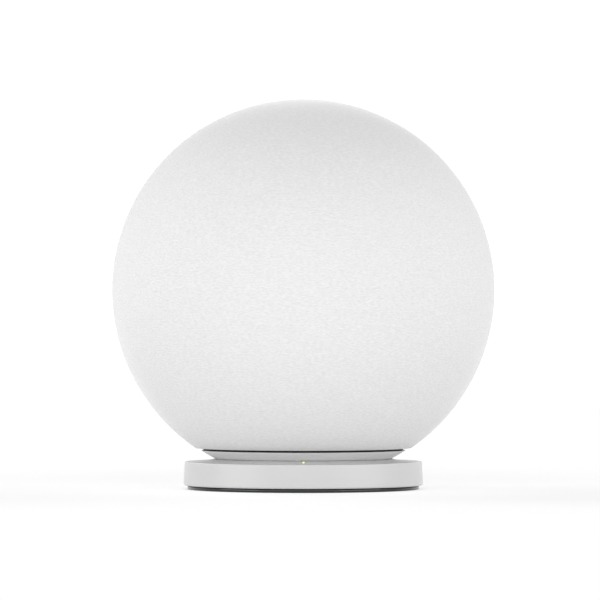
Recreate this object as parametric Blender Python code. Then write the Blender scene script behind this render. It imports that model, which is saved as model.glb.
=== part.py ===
"""A cordless smart speaker: a fabric-covered orb that lifts off a round charging dock.

Metres, +Z up, the front towards -Y. The origin is on the table under the middle of the dock.
Dock pieces are placed in that frame. Orb pieces are placed from the orb's centre, on the empty "orb".
"""

import math

import bmesh
import bpy
from mathutils import Matrix, Vector

MM = 0.001
GAP = 0.3 * MM  # kept between pieces that touch

# Driving dimensions ---------------------------------------------------------
ORB_RADIUS = 72.5 * MM
ORB_CENTRE_Z = 75.5 * MM
COVER_THICKNESS = 0.7 * MM
SHELL_THICKNESS = 2.2 * MM
SEAM_Z = -60.3 * MM  # middle of the dark groove, from the orb's centre
SEAM_HEIGHT = 0.8 * MM
CAP_RADIUS = 72.1 * MM
CAP_THICKNESS = 1.8 * MM
CAP_BOTTOM = -66.7 * MM

DOCK_UNDERSIDE = 1.5 * MM
DOCK_TOP = 10.5 * MM
DOCK_BOTTOM_RADIUS = 45.5 * MM
DOCK_TOP_RADIUS = 45.05 * MM
DOCK_WALL = 1.8 * MM
DISH_FLOOR = 8.5 * MM
DISH_LIP_RADIUS = 33.9 * MM
DISH_LIP_HEIGHT = 1.0 * MM
FOOT_RADIUS = 44.0 * MM

BIG_SEGMENTS = 24  # the orb's skins, which nest only if they share their facets
DOCK_SEGMENTS = 32
MIDDLE_SEGMENTS = 20
SMALL_SEGMENTS = 12
TINY_SEGMENTS = 8

# Worked-out sizes -----------------------------------------------------------
HEM_Z = SEAM_Z + SEAM_HEIGHT / 2
CAP_TOP = SEAM_Z - SEAM_HEIGHT / 2
COVER_INNER = ORB_RADIUS - COVER_THICKNESS
SHELL_OUTER = COVER_INNER - GAP
SHELL_INNER = SHELL_OUTER - SHELL_THICKNESS
CAP_INNER = CAP_RADIUS - CAP_THICKNESS
CAP_FLOOR = CAP_BOTTOM + CAP_THICKNESS
DOCK_CEILING = DOCK_TOP - 1.6 * MM
DISH_PAD_LOW = DISH_FLOOR - 1.5 * MM

# Docking contacts and button, shared by the dock and the orb
PIN_X = 8.0 * MM
BUTTON_Y = -13.0 * MM
SCREW_ANGLES = [math.radians(a) for a in (90, 210, 330)]


def ring_radius(sphere_radius, height):
    """Radius of the circle that a plane at this height cuts from a sphere about the origin."""
    return math.sqrt(sphere_radius**2 - height**2)


# Building blocks ------------------------------------------------------------
def clear_scene():
    for obj in list(bpy.data.objects):
        bpy.data.objects.remove(obj, do_unlink=True)


def material(name, colour, roughness, metallic=0.0):
    made = bpy.data.materials.get(name) or bpy.data.materials.new(name)
    made.use_nodes = True
    shader = made.node_tree.nodes["Principled BSDF"]
    shader.inputs["Base Color"].default_value = (*colour, 1.0)
    shader.inputs["Roughness"].default_value = roughness
    shader.inputs["Metallic"].default_value = metallic
    made.diffuse_color = (*colour, 1.0)
    return made


def axis_empty(name, location, parent=None):
    """An empty that marks a body's own origin, on its joint's axis."""
    empty = bpy.data.objects.new(name, None)
    empty.empty_display_size = 5 * MM
    empty.location = location
    empty.parent = parent
    bpy.context.scene.collection.objects.link(empty)
    return empty


def finish(name, bm, finish_material, parent, at=(0, 0, 0), turn=(0, 0, 0)):
    """Closes the bmesh into a named object with sharp edges kept and round ones smooth."""
    bmesh.ops.remove_doubles(bm, verts=bm.verts, dist=1e-6)
    bmesh.ops.recalc_face_normals(bm, faces=bm.faces)
    mesh = bpy.data.meshes.new(name)
    bm.to_mesh(mesh)
    bm.free()
    mesh.shade_smooth()
    mesh.set_sharp_from_angle(angle=math.radians(35))
    mesh.materials.append(finish_material)
    obj = bpy.data.objects.new(name, mesh)
    obj.parent = parent
    obj.location = at
    obj.rotation_euler = turn
    bpy.context.scene.collection.objects.link(obj)
    return obj


def spin_outline(bm, outline, segments, sweep=math.tau):
    """Turns an outline of (radius, height) points about Z. Ends on the axis close by themselves."""
    points = [bm.verts.new((radius, 0, height)) for radius, height in outline]
    edges = [bm.edges.new(pair) for pair in zip(points, points[1:])]
    open_on_axis = outline[0][0] == 0 and outline[-1][0] == 0
    if not open_on_axis:
        edges.append(bm.edges.new((points[-1], points[0])))
    part_turn = sweep < math.tau
    if part_turn:
        bm.faces.new(points)
    bmesh.ops.spin(
        bm,
        geom=bm.faces[:] if part_turn else points + edges,
        axis=(0, 0, 1),
        angle=sweep,
        steps=segments,
        use_merge=not part_turn,
    )


def turned(name, outline, finish_material, parent, segments=MIDDLE_SEGMENTS, **place):
    bm = bmesh.new()
    spin_outline(bm, outline, segments)
    return finish(name, bm, finish_material, parent, **place)


def add_cylinder(bm, radius, low, high, at=(0, 0), segments=SMALL_SEGMENTS, axis="Z"):
    """A cylinder along Z, X or Y. at is its centre in the other two axes, in X, Y, Z order."""
    made = bmesh.ops.create_cone(
        bm,
        cap_ends=True,
        segments=segments,
        radius1=radius,
        radius2=radius,
        depth=high - low,
    )
    middle = (low + high) / 2
    turns = {
        "Z": (Matrix.Identity(3), (*at, middle)),
        "X": (Matrix.Rotation(math.pi / 2, 3, "Y"), (middle, *at)),
        "Y": (Matrix.Rotation(math.pi / 2, 3, "X"), (at[0], middle, at[1])),
    }
    rotation, shift = turns[axis]
    bmesh.ops.rotate(bm, verts=made["verts"], matrix=rotation)
    bmesh.ops.translate(bm, verts=made["verts"], vec=shift)


def add_box(bm, low, high, turn=0.0):
    """A box between two corners, turned about Z after it is placed."""
    made = bmesh.ops.create_cube(bm, size=1)
    size = Vector(high) - Vector(low)
    bmesh.ops.scale(bm, verts=made["verts"], vec=size)
    bmesh.ops.translate(bm, verts=made["verts"], vec=(Vector(low) + Vector(high)) / 2)
    bmesh.ops.rotate(bm, verts=made["verts"], matrix=Matrix.Rotation(turn, 3, "Z"))


def combine(obj, fill, operation):
    """Cuts from obj, or joins to it, the shapes that fill(bm) makes, in obj's own frame."""
    bm = bmesh.new()
    fill(bm)
    bmesh.ops.recalc_face_normals(bm, faces=bm.faces)
    mesh = bpy.data.meshes.new(f"{obj.name}_{operation.lower()}")
    bm.to_mesh(mesh)
    bm.free()
    tool = bpy.data.objects.new(mesh.name, mesh)
    tool.parent = obj
    tool.hide_render = True
    tool.display_type = "WIRE"
    bpy.context.scene.collection.objects.link(tool)
    modifier = obj.modifiers.new(operation.title(), "BOOLEAN")
    modifier.operation = operation
    modifier.solver = "EXACT"
    modifier.object = tool
    return obj


def cut(obj, fill):
    return combine(obj, fill, "DIFFERENCE")


def join(obj, fill):
    return combine(obj, fill, "UNION")


def polar(radius, angle):
    return radius * math.cos(angle), radius * math.sin(angle)


def half_roll(roll_inner, roll_outer, foot_inner, foot_outer, base_inner, base_outer, thickness):
    """Outline of a loudspeaker surround: a half roll with a flat foot on each side."""
    middle = (roll_inner + roll_outer) / 2
    outer_arc = (roll_outer - roll_inner) / 2
    steps = 4
    arc = [math.pi * i / steps for i in range(steps + 1)]
    below = [
        (middle - (outer_arc - thickness) * math.cos(a), base_outer + (outer_arc - thickness) * math.sin(a))
        for a in arc
    ]
    above = [
        (middle + outer_arc * math.cos(a), base_outer + thickness + (outer_arc - thickness) * math.sin(a))
        for a in arc
    ]
    return [
        (foot_inner, base_inner),
        (roll_inner, base_inner),
        *below,
        (foot_outer, base_outer),
        (foot_outer, base_outer + thickness),
        *above,
        (roll_inner - thickness, base_inner + thickness),
        (foot_inner, base_inner + thickness),
    ]


def wire(name, points, radius, finish_material, parent):
    """A lead along a smooth curve through the route's own points."""
    route = [Vector(p) for p in points]
    route = [2 * route[0] - route[1], *route, 2 * route[-1] - route[-2]]
    smooth = []
    steps = 3
    for before, start, end, after in zip(route, route[1:], route[2:], route[3:]):
        for i in range(steps):
            t = i / steps
            smooth.append(
                0.5
                * (
                    2 * start
                    + (end - before) * t
                    + (2 * before - 5 * start + 4 * end - after) * t**2
                    + (3 * start - before - 3 * end + after) * t**3
                )
            )
    smooth.append(route[-2])
    curve = bpy.data.curves.new(name, "CURVE")
    curve.dimensions = "3D"
    curve.bevel_depth = radius
    curve.bevel_resolution = 2
    curve.use_fill_caps = True
    spline = curve.splines.new("POLY")
    spline.points.add(len(smooth) - 1)
    for point, at in zip(spline.points, smooth):
        point.co = (*at, 1)
    curve.materials.append(finish_material)
    obj = bpy.data.objects.new(name, curve)
    obj.parent = parent
    bpy.context.scene.collection.objects.link(obj)
    return obj


def sphere_grid(bm, radius, low, high, rings, is_window):
    """Part of a sphere's skin between two latitudes, without the faces where is_window says so."""
    rows = []
    for row in range(rings + 1):
        latitude = low + (high - low) * row / rings
        if abs(latitude - math.pi / 2) < 1e-6:
            rows.append([bm.verts.new((0, 0, radius))] * BIG_SEGMENTS)
            continue
        rows.append(
            [
                bm.verts.new(
                    (
                        *polar(radius * math.cos(latitude), math.tau * column / BIG_SEGMENTS),
                        radius * math.sin(latitude),
                    )
                )
                for column in range(BIG_SEGMENTS)
            ]
        )
    for row in range(rings):
        for column in range(BIG_SEGMENTS):
            if is_window(row, column):
                continue
            after = (column + 1) % BIG_SEGMENTS
            corners = [rows[row][column], rows[row][after], rows[row + 1][after], rows[row + 1][column]]
            if corners[2] is corners[3]:
                corners.pop()
            bm.faces.new(corners)
    bmesh.ops.delete(bm, geom=[v for v in bm.verts if not v.link_faces], context="VERTS")


def sphere_shell(name, radius, thickness, low, high, rings, is_window, finish_material, parent):
    bm = bmesh.new()
    sphere_grid(bm, radius, low, high, rings, is_window)
    obj = finish(name, bm, finish_material, parent)
    solid = obj.modifiers.new("Wall", "SOLIDIFY")
    solid.thickness = thickness
    solid.offset = -1
    solid.use_even_offset = False
    return obj


# Materials ------------------------------------------------------------------
def make_materials():
    return {
        "fabric": material("cover_fabric", (0.86, 0.86, 0.86), 0.9),
        "white": material("satin_white_plastic", (0.80, 0.80, 0.80), 0.38),
        "grey": material("grey_plastic", (0.55, 0.55, 0.56), 0.5),
        "black": material("black_plastic", (0.03, 0.03, 0.032), 0.55),
        "rubber": material("black_rubber", (0.025, 0.024, 0.026), 0.8),
        "silicone": material("grey_silicone", (0.42, 0.42, 0.43), 0.75),
        "board": material("circuit_board", (0.03, 0.16, 0.08), 0.45),
        "steel": material("plated_steel", (0.62, 0.62, 0.63), 0.35, 1.0),
        "gold": material("gold_contact", (0.83, 0.62, 0.25), 0.25, 1.0),
        "magnet": material("nickel_magnet", (0.66, 0.66, 0.68), 0.2, 1.0),
        "copper": material("copper_coil", (0.72, 0.34, 0.18), 0.35, 1.0),
        "lens": material("led_lens", (0.72, 0.9, 0.45), 0.15),
        "cell": material("cell_wrap", (0.10, 0.28, 0.55), 0.4),
        "cone": material("driver_paper", (0.05, 0.05, 0.055), 0.75),
        "spider": material("spider_cloth", (0.62, 0.46, 0.22), 0.9),
        "wire": material("wire_jacket", (0.45, 0.05, 0.04), 0.5),
        "ribbon": material("ribbon_film", (0.70, 0.52, 0.22), 0.4),
    }


# Dock -----------------------------------------------------------------------
PLATE_TOP = 3.0 * MM
PLATE_RADIUS = 43.2 * MM
BOARD_LOW, BOARD_HIGH = 3.6 * MM, 4.6 * MM
DOCK_SCREW_RADIUS = 25.0 * MM
LED_Y = -36.2 * MM
LED_RADIUS = 0.6 * MM
USB_Z = 6.55 * MM
USB_WIDTH, USB_HEIGHT, USB_LENGTH = 8.94 * MM, 3.26 * MM, 7.3 * MM
USB_FACE_Y = 44.4 * MM
PIN_HOLE_RADIUS = 1.8 * MM
DISH_FIELD = DISH_FLOOR - 0.6 * MM
DISH_FIELD_RADIUS = 18.0 * MM


def dish_wall(height):
    """The dish follows the orb's cap with clearance all round."""
    clearance = 0.35 * MM
    return ring_radius(CAP_RADIUS + clearance, ORB_CENTRE_Z - height)


def dock_shell(finishes, dock):
    flare_foot = 39.8 * MM
    edge = 0.35 * MM
    steps = 4
    ledge_inner, ledge_outer = 22.1 * MM, 29.4 * MM
    ledge_top = DISH_PAD_LOW - GAP
    ledge_low = ledge_top - 1.0 * MM
    flare = [
        (
            flare_foot + (DISH_LIP_RADIUS - flare_foot) * i / steps,
            DOCK_TOP + DISH_LIP_HEIGHT * (i / steps) ** 1.5,
        )
        for i in range(steps + 1)
    ]
    lip_inside = DOCK_TOP + DISH_LIP_HEIGHT - 0.1 * MM
    dish_heights = [lip_inside + (DISH_FLOOR - lip_inside) * i / 2 for i in range(3)]
    outline = [
        (ledge_inner, ledge_low),
        (ledge_outer, ledge_low),
        (ledge_outer, DISH_PAD_LOW + 0.4 * MM),
        (DISH_LIP_RADIUS, DOCK_CEILING),
        (DOCK_TOP_RADIUS - DOCK_WALL, DOCK_CEILING),
        (DOCK_BOTTOM_RADIUS - DOCK_WALL, DOCK_UNDERSIDE),
        (DOCK_BOTTOM_RADIUS - edge, DOCK_UNDERSIDE),
        (DOCK_BOTTOM_RADIUS, DOCK_UNDERSIDE + edge),
        (DOCK_TOP_RADIUS, DOCK_TOP - edge),
        (DOCK_TOP_RADIUS - edge, DOCK_TOP),
        *flare,
        *[(dish_wall(z), z) for z in dish_heights],
        (dish_wall(DISH_FLOOR), ledge_top),
        (ledge_inner, ledge_top),
    ]
    shell = turned("dock_shell", outline, finishes["white"], dock, DOCK_SEGMENTS)
    boss_radius, pilot_radius = 2.6 * MM, 1.35 * MM
    bosses_from = PLATE_TOP + GAP

    def bosses(bm):
        for angle in SCREW_ANGLES:
            at = polar(DOCK_SCREW_RADIUS, angle)
            add_cylinder(bm, boss_radius, bosses_from, ledge_low + 0.5 * MM, at)

    def openings(bm):
        add_cylinder(bm, LED_RADIUS + GAP, DOCK_CEILING - MM, DOCK_TOP + 2 * MM, (0, LED_Y), TINY_SEGMENTS)
        add_stadium(bm, USB_WIDTH + 2 * GAP, USB_HEIGHT + 2 * GAP, 41 * MM, 48 * MM)
        for angle in SCREW_ANGLES:
            at = polar(DOCK_SCREW_RADIUS, angle)
            add_cylinder(bm, pilot_radius, MM, ledge_top - 0.3 * MM, at, TINY_SEGMENTS)

    join(shell, bosses)
    cut(shell, openings)


def dish_pad(finishes, dock):
    """A soft disc that the cap rests on. Its field is sunk so that the pins stand out of it."""
    outer = dish_wall(DISH_FLOOR) - GAP
    slope = 0.6 * MM
    outline = [
        (0, DISH_PAD_LOW),
        (outer, DISH_PAD_LOW),
        (outer, DISH_FLOOR),
        (DISH_FIELD_RADIUS + slope, DISH_FLOOR),
        (DISH_FIELD_RADIUS, DISH_FIELD),
        (0, DISH_FIELD),
    ]
    pad = turned("dish_pad", outline, finishes["silicone"], dock, DOCK_SEGMENTS)

    def pin_holes(bm):
        for x in (-PIN_X, PIN_X):
            add_cylinder(bm, PIN_HOLE_RADIUS, DISH_PAD_LOW - MM, DISH_FLOOR, (x, 0))

    cut(pad, pin_holes)


def add_stadium(bm, width, height, low_y, high_y):
    """A bar along Y at the socket's height whose section has round ends, like the socket's."""
    steps = 4
    round_radius = height / 2
    half_flat = width / 2 - round_radius
    section = []
    for side in (1, -1):
        for i in range(steps + 1):
            x, z = polar(round_radius, math.pi / 2 - math.pi * i / steps)
            section.append((side * (half_flat + x), USB_Z + side * z))
    face = bm.faces.new([bm.verts.new((x, low_y, z)) for x, z in section])
    moved = bmesh.ops.extrude_face_region(bm, geom=[face])["geom"]
    ends = [v for v in moved if isinstance(v, bmesh.types.BMVert)]
    bmesh.ops.translate(bm, verts=ends, vec=(0, high_y - low_y, 0))


def dock_bottom(finishes, dock):
    groove_inner, groove_depth = 29.7 * MM, 0.6 * MM
    groove_outer = 42.1 * MM
    groove_top = DOCK_UNDERSIDE + groove_depth
    outline = [
        (0, DOCK_UNDERSIDE),
        (groove_inner, DOCK_UNDERSIDE),
        (groove_inner, groove_top),
        (groove_outer, groove_top),
        (groove_outer, DOCK_UNDERSIDE),
        (PLATE_RADIUS, DOCK_UNDERSIDE),
        (PLATE_RADIUS, PLATE_TOP),
        (0, PLATE_TOP),
    ]
    plate = turned("dock_bottom_plate", outline, finishes["grey"], dock, DOCK_SEGMENTS)

    def screw_seats(bm):
        for angle in SCREW_ANGLES:
            at = polar(DOCK_SCREW_RADIUS, angle)
            add_cylinder(bm, 2.4 * MM, MM, DOCK_UNDERSIDE + 0.9 * MM, at)

    def screw_holes(bm):
        for angle in SCREW_ANGLES:
            add_cylinder(bm, 1.4 * MM, 2 * MM, 4 * MM, polar(DOCK_SCREW_RADIUS, angle), TINY_SEGMENTS)

    cut(plate, screw_seats)
    cut(plate, screw_holes)
    foot_top = groove_top - GAP
    skirt_top = DOCK_UNDERSIDE - GAP
    edge = 0.3 * MM
    foot = [
        (groove_inner + GAP, edge),
        (groove_inner + GAP + edge, 0),
        (FOOT_RADIUS - edge, 0),
        (FOOT_RADIUS, edge),
        (FOOT_RADIUS, skirt_top),
        (groove_outer - GAP, skirt_top),
        (groove_outer - GAP, foot_top),
        (groove_inner + GAP, foot_top),
    ]
    turned("foot_ring", foot, finishes["rubber"], dock, DOCK_SEGMENTS)


def screw(name, head_height, shank_radius, head_low, length, at, finishes, parent):
    """A pan-head screw pointing up, with a slot in its head."""
    head_radius = 2.0 * MM
    outline = [
        (0, head_low),
        (head_radius * 0.85, head_low),
        (head_radius, head_low + head_height * 0.4),
        (head_radius, head_low + head_height),
        (shank_radius, head_low + head_height),
        (shank_radius, head_low + length - shank_radius),
        (0, head_low + length),
    ]
    made = turned(name, outline, finishes["steel"], parent, TINY_SEGMENTS, at=(*at, 0))
    arm, half_width = head_radius * 0.6, head_radius * 0.13

    def slot(bm):
        depth = head_low + head_height * 0.6
        add_box(bm, (-arm, -half_width, head_low - MM), (arm, half_width, depth))

    cut(made, slot)


def dock_screws(finishes, dock):
    for number, angle in enumerate(SCREW_ANGLES, 1):
        at = polar(DOCK_SCREW_RADIUS, angle)
        low = DOCK_UNDERSIDE + 0.1 * MM
        screw(f"dock_screw_{number}", 0.5 * MM, 0.95 * MM, low, 4.3 * MM, at, finishes, dock)


def dock_weight(finishes, dock):
    inner, outer = 30.5 * MM, 42.0 * MM
    low, high = PLATE_TOP + GAP, 7.2 * MM
    rear_opening = math.radians(50)
    bm = bmesh.new()
    outline = [(inner, low), (outer, low), (outer, high), (34.5 * MM, high), (inner, 6.2 * MM)]
    spin_outline(bm, outline, BIG_SEGMENTS, math.tau - rear_opening)
    start = math.pi / 2 + rear_opening / 2
    weight = finish("dock_weight", bm, finishes["steel"], dock, turn=(0, 0, start))

    def light_path(bm):
        towards_front = Matrix.Rotation(-start, 3, "Z") @ Vector((0, LED_Y, 0))
        add_cylinder(bm, 3.0 * MM, 2 * MM, 9 * MM, towards_front[:2])

    def board_path(bm):
        add_box(bm, (-11.5 * MM, -44 * MM, 2 * MM), (11.5 * MM, -20 * MM, 5.2 * MM), -start)

    cut(weight, light_path)
    cut(weight, board_path)


def dock_board(finishes, dock):
    half_width = 11 * MM
    bm = bmesh.new()
    add_box(bm, (-half_width, -39 * MM, BOARD_LOW), (half_width, 41.5 * MM, BOARD_HIGH))
    board = finish("dock_board", bm, finishes["board"], dock)

    def holes(bm):
        for x in (-PIN_X, PIN_X):
            add_cylinder(bm, 1.5 * MM + GAP, 2 * MM, 6 * MM, (x, 0))
        add_cylinder(bm, 3.2 * MM, 2 * MM, 6 * MM, (0, DOCK_SCREW_RADIUS))

    cut(board, holes)


def usb_socket(finishes, dock):
    wall = 0.3 * MM
    rear_y = USB_FACE_Y - USB_LENGTH
    bm = bmesh.new()
    add_stadium(bm, USB_WIDTH, USB_HEIGHT, rear_y, USB_FACE_Y)
    shell = finish("usb_socket_shell", bm, finishes["steel"], dock)

    def mouth(bm):
        add_stadium(bm, USB_WIDTH - 2 * wall, USB_HEIGHT - 2 * wall, rear_y + wall, USB_FACE_Y + MM)

    cut(shell, mouth)
    bm = bmesh.new()
    block_y = rear_y + wall + GAP
    half_width = 3.3 * MM
    add_box(bm, (-half_width, block_y, USB_Z - MM), (half_width, block_y + 1.4 * MM, USB_Z + MM))
    tongue = finish("usb_socket_tongue", bm, finishes["black"], dock)

    def blade(bm):
        half_height = 0.35 * MM
        add_box(
            bm,
            (-half_width + 0.1 * MM, block_y + MM, USB_Z - half_height),
            (half_width - 0.1 * MM, USB_FACE_Y - 0.9 * MM, USB_Z + half_height),
        )

    join(tongue, blade)


def dock_light(finishes, dock):
    lens_top = DOCK_TOP + 1.0 * MM
    low = BOARD_HIGH + 1.2 * MM
    dome = [
        (LED_RADIUS * math.cos(a), lens_top - LED_RADIUS + LED_RADIUS * math.sin(a))
        for a in (math.radians(d) for d in (0, 30, 60))
    ]
    outline = [(0, low), (LED_RADIUS, low), *dome, (0, lens_top)]
    turned("led_lens", outline, finishes["lens"], dock, TINY_SEGMENTS, at=(0, LED_Y, 0))


def docking_pin(side, x, finishes, dock):
    """A sprung contact: a barrel through the board, a coil spring and a gold plunger that sinks."""
    barrel_radius, bore, lip_bore = 1.5 * MM, 1.15 * MM, 0.98 * MM
    low, high = PLATE_TOP + GAP, DISH_FIELD - GAP
    floor = low + 0.4 * MM
    lip_low = high - 0.5 * MM
    barrel = [
        (0, low),
        (barrel_radius, low),
        (barrel_radius, high),
        (lip_bore, high),
        (lip_bore, lip_low),
        (bore, lip_low),
        (bore, floor),
        (0, floor),
    ]
    turned(f"pin_barrel_{side}", barrel, finishes["gold"], dock, SMALL_SEGMENTS, at=(x, 0, 0))
    head_low, head_high, tip = 6.0 * MM, 6.8 * MM, 8.5 * MM
    stem = 0.7 * MM
    head = 0.95 * MM
    body = axis_empty(f"pin_{side}", (x, 0, tip), dock)
    plunger = [
        (0, head_low - tip),
        (head, head_low - tip),
        (head, head_high - tip),
        (stem, head_high - tip),
        (stem, -0.45 * MM),
        (stem * 0.7, -0.12 * MM),
        (0, 0),
    ]
    turned(f"pin_plunger_{side}", plunger, finishes["gold"], body, SMALL_SEGMENTS)
    coil_radius, wire_radius, turns, per_turn = 0.72 * MM, 0.13 * MM, 3.5, 6
    start = floor + wire_radius + 0.1 * MM
    end = head_low - wire_radius - 0.1 * MM
    count = int(turns * per_turn)
    path = [
        (
            x + coil_radius * math.cos(math.tau * i / per_turn),
            coil_radius * math.sin(math.tau * i / per_turn),
            start + (end - start) * i / count,
        )
        for i in range(count + 1)
    ]
    curve = bpy.data.curves.new(f"pin_spring_{side}", "CURVE")
    curve.dimensions = "3D"
    curve.bevel_depth = wire_radius
    curve.bevel_resolution = 1
    curve.use_fill_caps = True
    spline = curve.splines.new("POLY")
    spline.points.add(count)
    for point, at in zip(spline.points, path):
        point.co = (*at, 1)
    curve.materials.append(finishes["steel"])
    spring = bpy.data.objects.new(f"pin_spring_{side}", curve)
    spring.parent = dock
    bpy.context.scene.collection.objects.link(spring)


def dock_magnet(finishes, dock):
    radius, edge = 4.0 * MM, 0.3 * MM
    low, high = BOARD_HIGH + GAP, DISH_PAD_LOW - GAP
    outline = [
        (0, low),
        (radius - edge, low),
        (radius, low + edge),
        (radius, high - edge),
        (radius - edge, high),
        (0, high),
    ]
    turned("dock_magnet", outline, finishes["magnet"], dock, SMALL_SEGMENTS)


def make_dock(finishes):
    dock = axis_empty("dock", (0, 0, 0))
    dock_shell(finishes, dock)
    dish_pad(finishes, dock)
    dock_bottom(finishes, dock)
    dock_screws(finishes, dock)
    dock_weight(finishes, dock)
    dock_board(finishes, dock)
    usb_socket(finishes, dock)
    dock_light(finishes, dock)
    dock_magnet(finishes, dock)
    for side, x in (("left", -PIN_X), ("right", PIN_X)):
        docking_pin(side, x, finishes, dock)


# Orb: skins -----------------------------------------------------------------
BAND_OUTER, BAND_INNER = 37.9 * MM, 36.2 * MM
BAND_LOW, BAND_HIGH = -60.9 * MM, -59.5 * MM
FRAME_INNER = 63.0 * MM
FRAME_HALF = 1.5 * MM
EAR_HALF_WIDTH = 8 * MM
PEG_Y = 55.0 * MM


def fabric_cover(finishes, orb):
    lower_rings, upper_rings = 5, 8
    hem = math.asin(HEM_Z / ORB_RADIUS)
    latitudes = [hem - hem * i / lower_rings for i in range(lower_rings)]
    latitudes += [math.pi / 2 * i / upper_rings for i in range(upper_rings + 1)]
    outer = [(ORB_RADIUS * math.cos(a), ORB_RADIUS * math.sin(a)) for a in latitudes[:-1]]
    inner = [(COVER_INNER * math.cos(a), COVER_INNER * math.sin(a)) for a in latitudes[1:-1]]
    inner_hem = (ring_radius(COVER_INNER, HEM_Z), HEM_Z)
    outline = [(0, COVER_INNER), *reversed(inner), inner_hem, *outer, (0, ORB_RADIUS)]
    turned("fabric_cover", outline, finishes["fabric"], orb, BIG_SEGMENTS)


def sound_window(first_row, last_row):
    """Windows two facets wide between ribs one facet wide."""
    return lambda row, column: first_row <= row <= last_row and column % 3 != 0


def shells(finishes, orb):
    equator = math.asin(0.3 * MM / SHELL_OUTER)
    upper = sphere_shell(
        "upper_shell",
        SHELL_OUTER,
        SHELL_THICKNESS,
        equator,
        math.pi / 2,
        8,
        sound_window(1, 5),
        finishes["black"],
        orb,
    )

    def microphone_ports(bm):
        for angle in SCREW_ANGLES:
            add_cylinder(bm, 1.0 * MM, 60 * MM, 76 * MM, polar(18 * MM, angle), 8)

    cut(upper, microphone_ports)
    shell_end = math.asin((HEM_Z + 0.15 * MM) / SHELL_OUTER)
    sphere_shell(
        "lower_shell",
        SHELL_OUTER,
        SHELL_THICKNESS,
        shell_end,
        -equator,
        5,
        sound_window(1, 3),
        finishes["black"],
        orb,
    )


def mid_frame(finishes, orb):
    outer = SHELL_INNER - GAP
    outline = [
        (FRAME_INNER, -FRAME_HALF),
        (outer, -FRAME_HALF),
        (outer, FRAME_HALF),
        (FRAME_INNER, FRAME_HALF),
    ]
    frame = turned("mid_frame", outline, finishes["black"], orb, BIG_SEGMENTS)
    half_width = 10 * MM

    def tabs(bm):
        for side in (0, math.pi):
            low = (-half_width, 51 * MM, -FRAME_HALF)
            high = (half_width, FRAME_INNER + MM, FRAME_HALF)
            add_box(bm, low, high, side)

    def peg_holes(bm):
        for y in (-PEG_Y, PEG_Y):
            add_cylinder(bm, 1.9 * MM, -4 * MM, 4 * MM, (0, y), TINY_SEGMENTS)

    join(frame, tabs)
    cut(frame, peg_holes)


def seam_ring(finishes, orb):
    outline = [
        (BAND_INNER, BAND_LOW),
        (BAND_OUTER, BAND_LOW),
        (BAND_OUTER, BAND_HIGH),
        (BAND_INNER, BAND_HIGH),
    ]
    turned("seam_ring", outline, finishes["rubber"], orb, DOCK_SEGMENTS)


# Orb: bottom cap with its contacts and button --------------------------------
CAP_SCREW_RADIUS = 22.0 * MM
TRAY_LOW, TRAY_HIGH = -57.0 * MM, -55.2 * MM
CHARGE_LOW, CHARGE_HIGH = -62.5 * MM, -61.3 * MM
PAD_RADIUS = 2.2 * MM
PAD_FACE = CAP_BOTTOM
BUTTON_RADIUS = 3.5 * MM


def bottom_cap(finishes, orb):
    steps = 4
    edge = 0.3 * MM
    rebate_outer = BAND_OUTER + GAP
    rebate_floor = BAND_LOW - GAP
    outer = []
    for i in range(steps + 1):
        height = CAP_BOTTOM + edge + (CAP_TOP - CAP_BOTTOM - edge) * i / steps
        outer.append((ring_radius(CAP_RADIUS, height), height))
    inner = []
    for i in range(3):
        height = rebate_floor + (CAP_FLOOR - rebate_floor) * i / 2
        inner.append((ring_radius(CAP_INNER, height), height))
    outline = [
        (0, CAP_BOTTOM),
        (outer[0][0] - 0.6 * MM, CAP_BOTTOM),
        *outer,
        (rebate_outer, CAP_TOP),
        (rebate_outer, rebate_floor),
        *inner,
        (0, CAP_FLOOR),
    ]
    cap = turned("bottom_cap", outline, finishes["white"], orb, DOCK_SEGMENTS)

    def columns(bm):
        for angle in SCREW_ANGLES:
            at = polar(CAP_SCREW_RADIUS, angle)
            add_cylinder(bm, 3.1 * MM, CAP_FLOOR - 0.5 * MM, TRAY_LOW - GAP, at)

    def wide_holes(bm):
        below = CAP_BOTTOM - MM
        for x in (-PIN_X, PIN_X):
            add_cylinder(bm, PAD_RADIUS + GAP, below, CAP_BOTTOM + 1.4 * MM, (x, 0))
        add_cylinder(bm, BUTTON_RADIUS + GAP, below, CAP_FLOOR + MM, (0, BUTTON_Y))
        for angle in SCREW_ANGLES:
            at = polar(CAP_SCREW_RADIUS, angle)
            add_cylinder(bm, 2.4 * MM, below, CAP_BOTTOM + 2.2 * MM, at)

    def narrow_holes(bm):
        for x in (-PIN_X, PIN_X):
            add_cylinder(bm, 1.2 * MM, CAP_BOTTOM + MM, CAP_FLOOR + MM, (x, 0), TINY_SEGMENTS)
        for angle in SCREW_ANGLES:
            at = polar(CAP_SCREW_RADIUS, angle)
            add_cylinder(bm, 1.45 * MM, CAP_BOTTOM + 2 * MM, TRAY_LOW + MM, at, TINY_SEGMENTS)

    join(cap, columns)
    cut(cap, wide_holes)
    cut(cap, narrow_holes)


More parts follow.
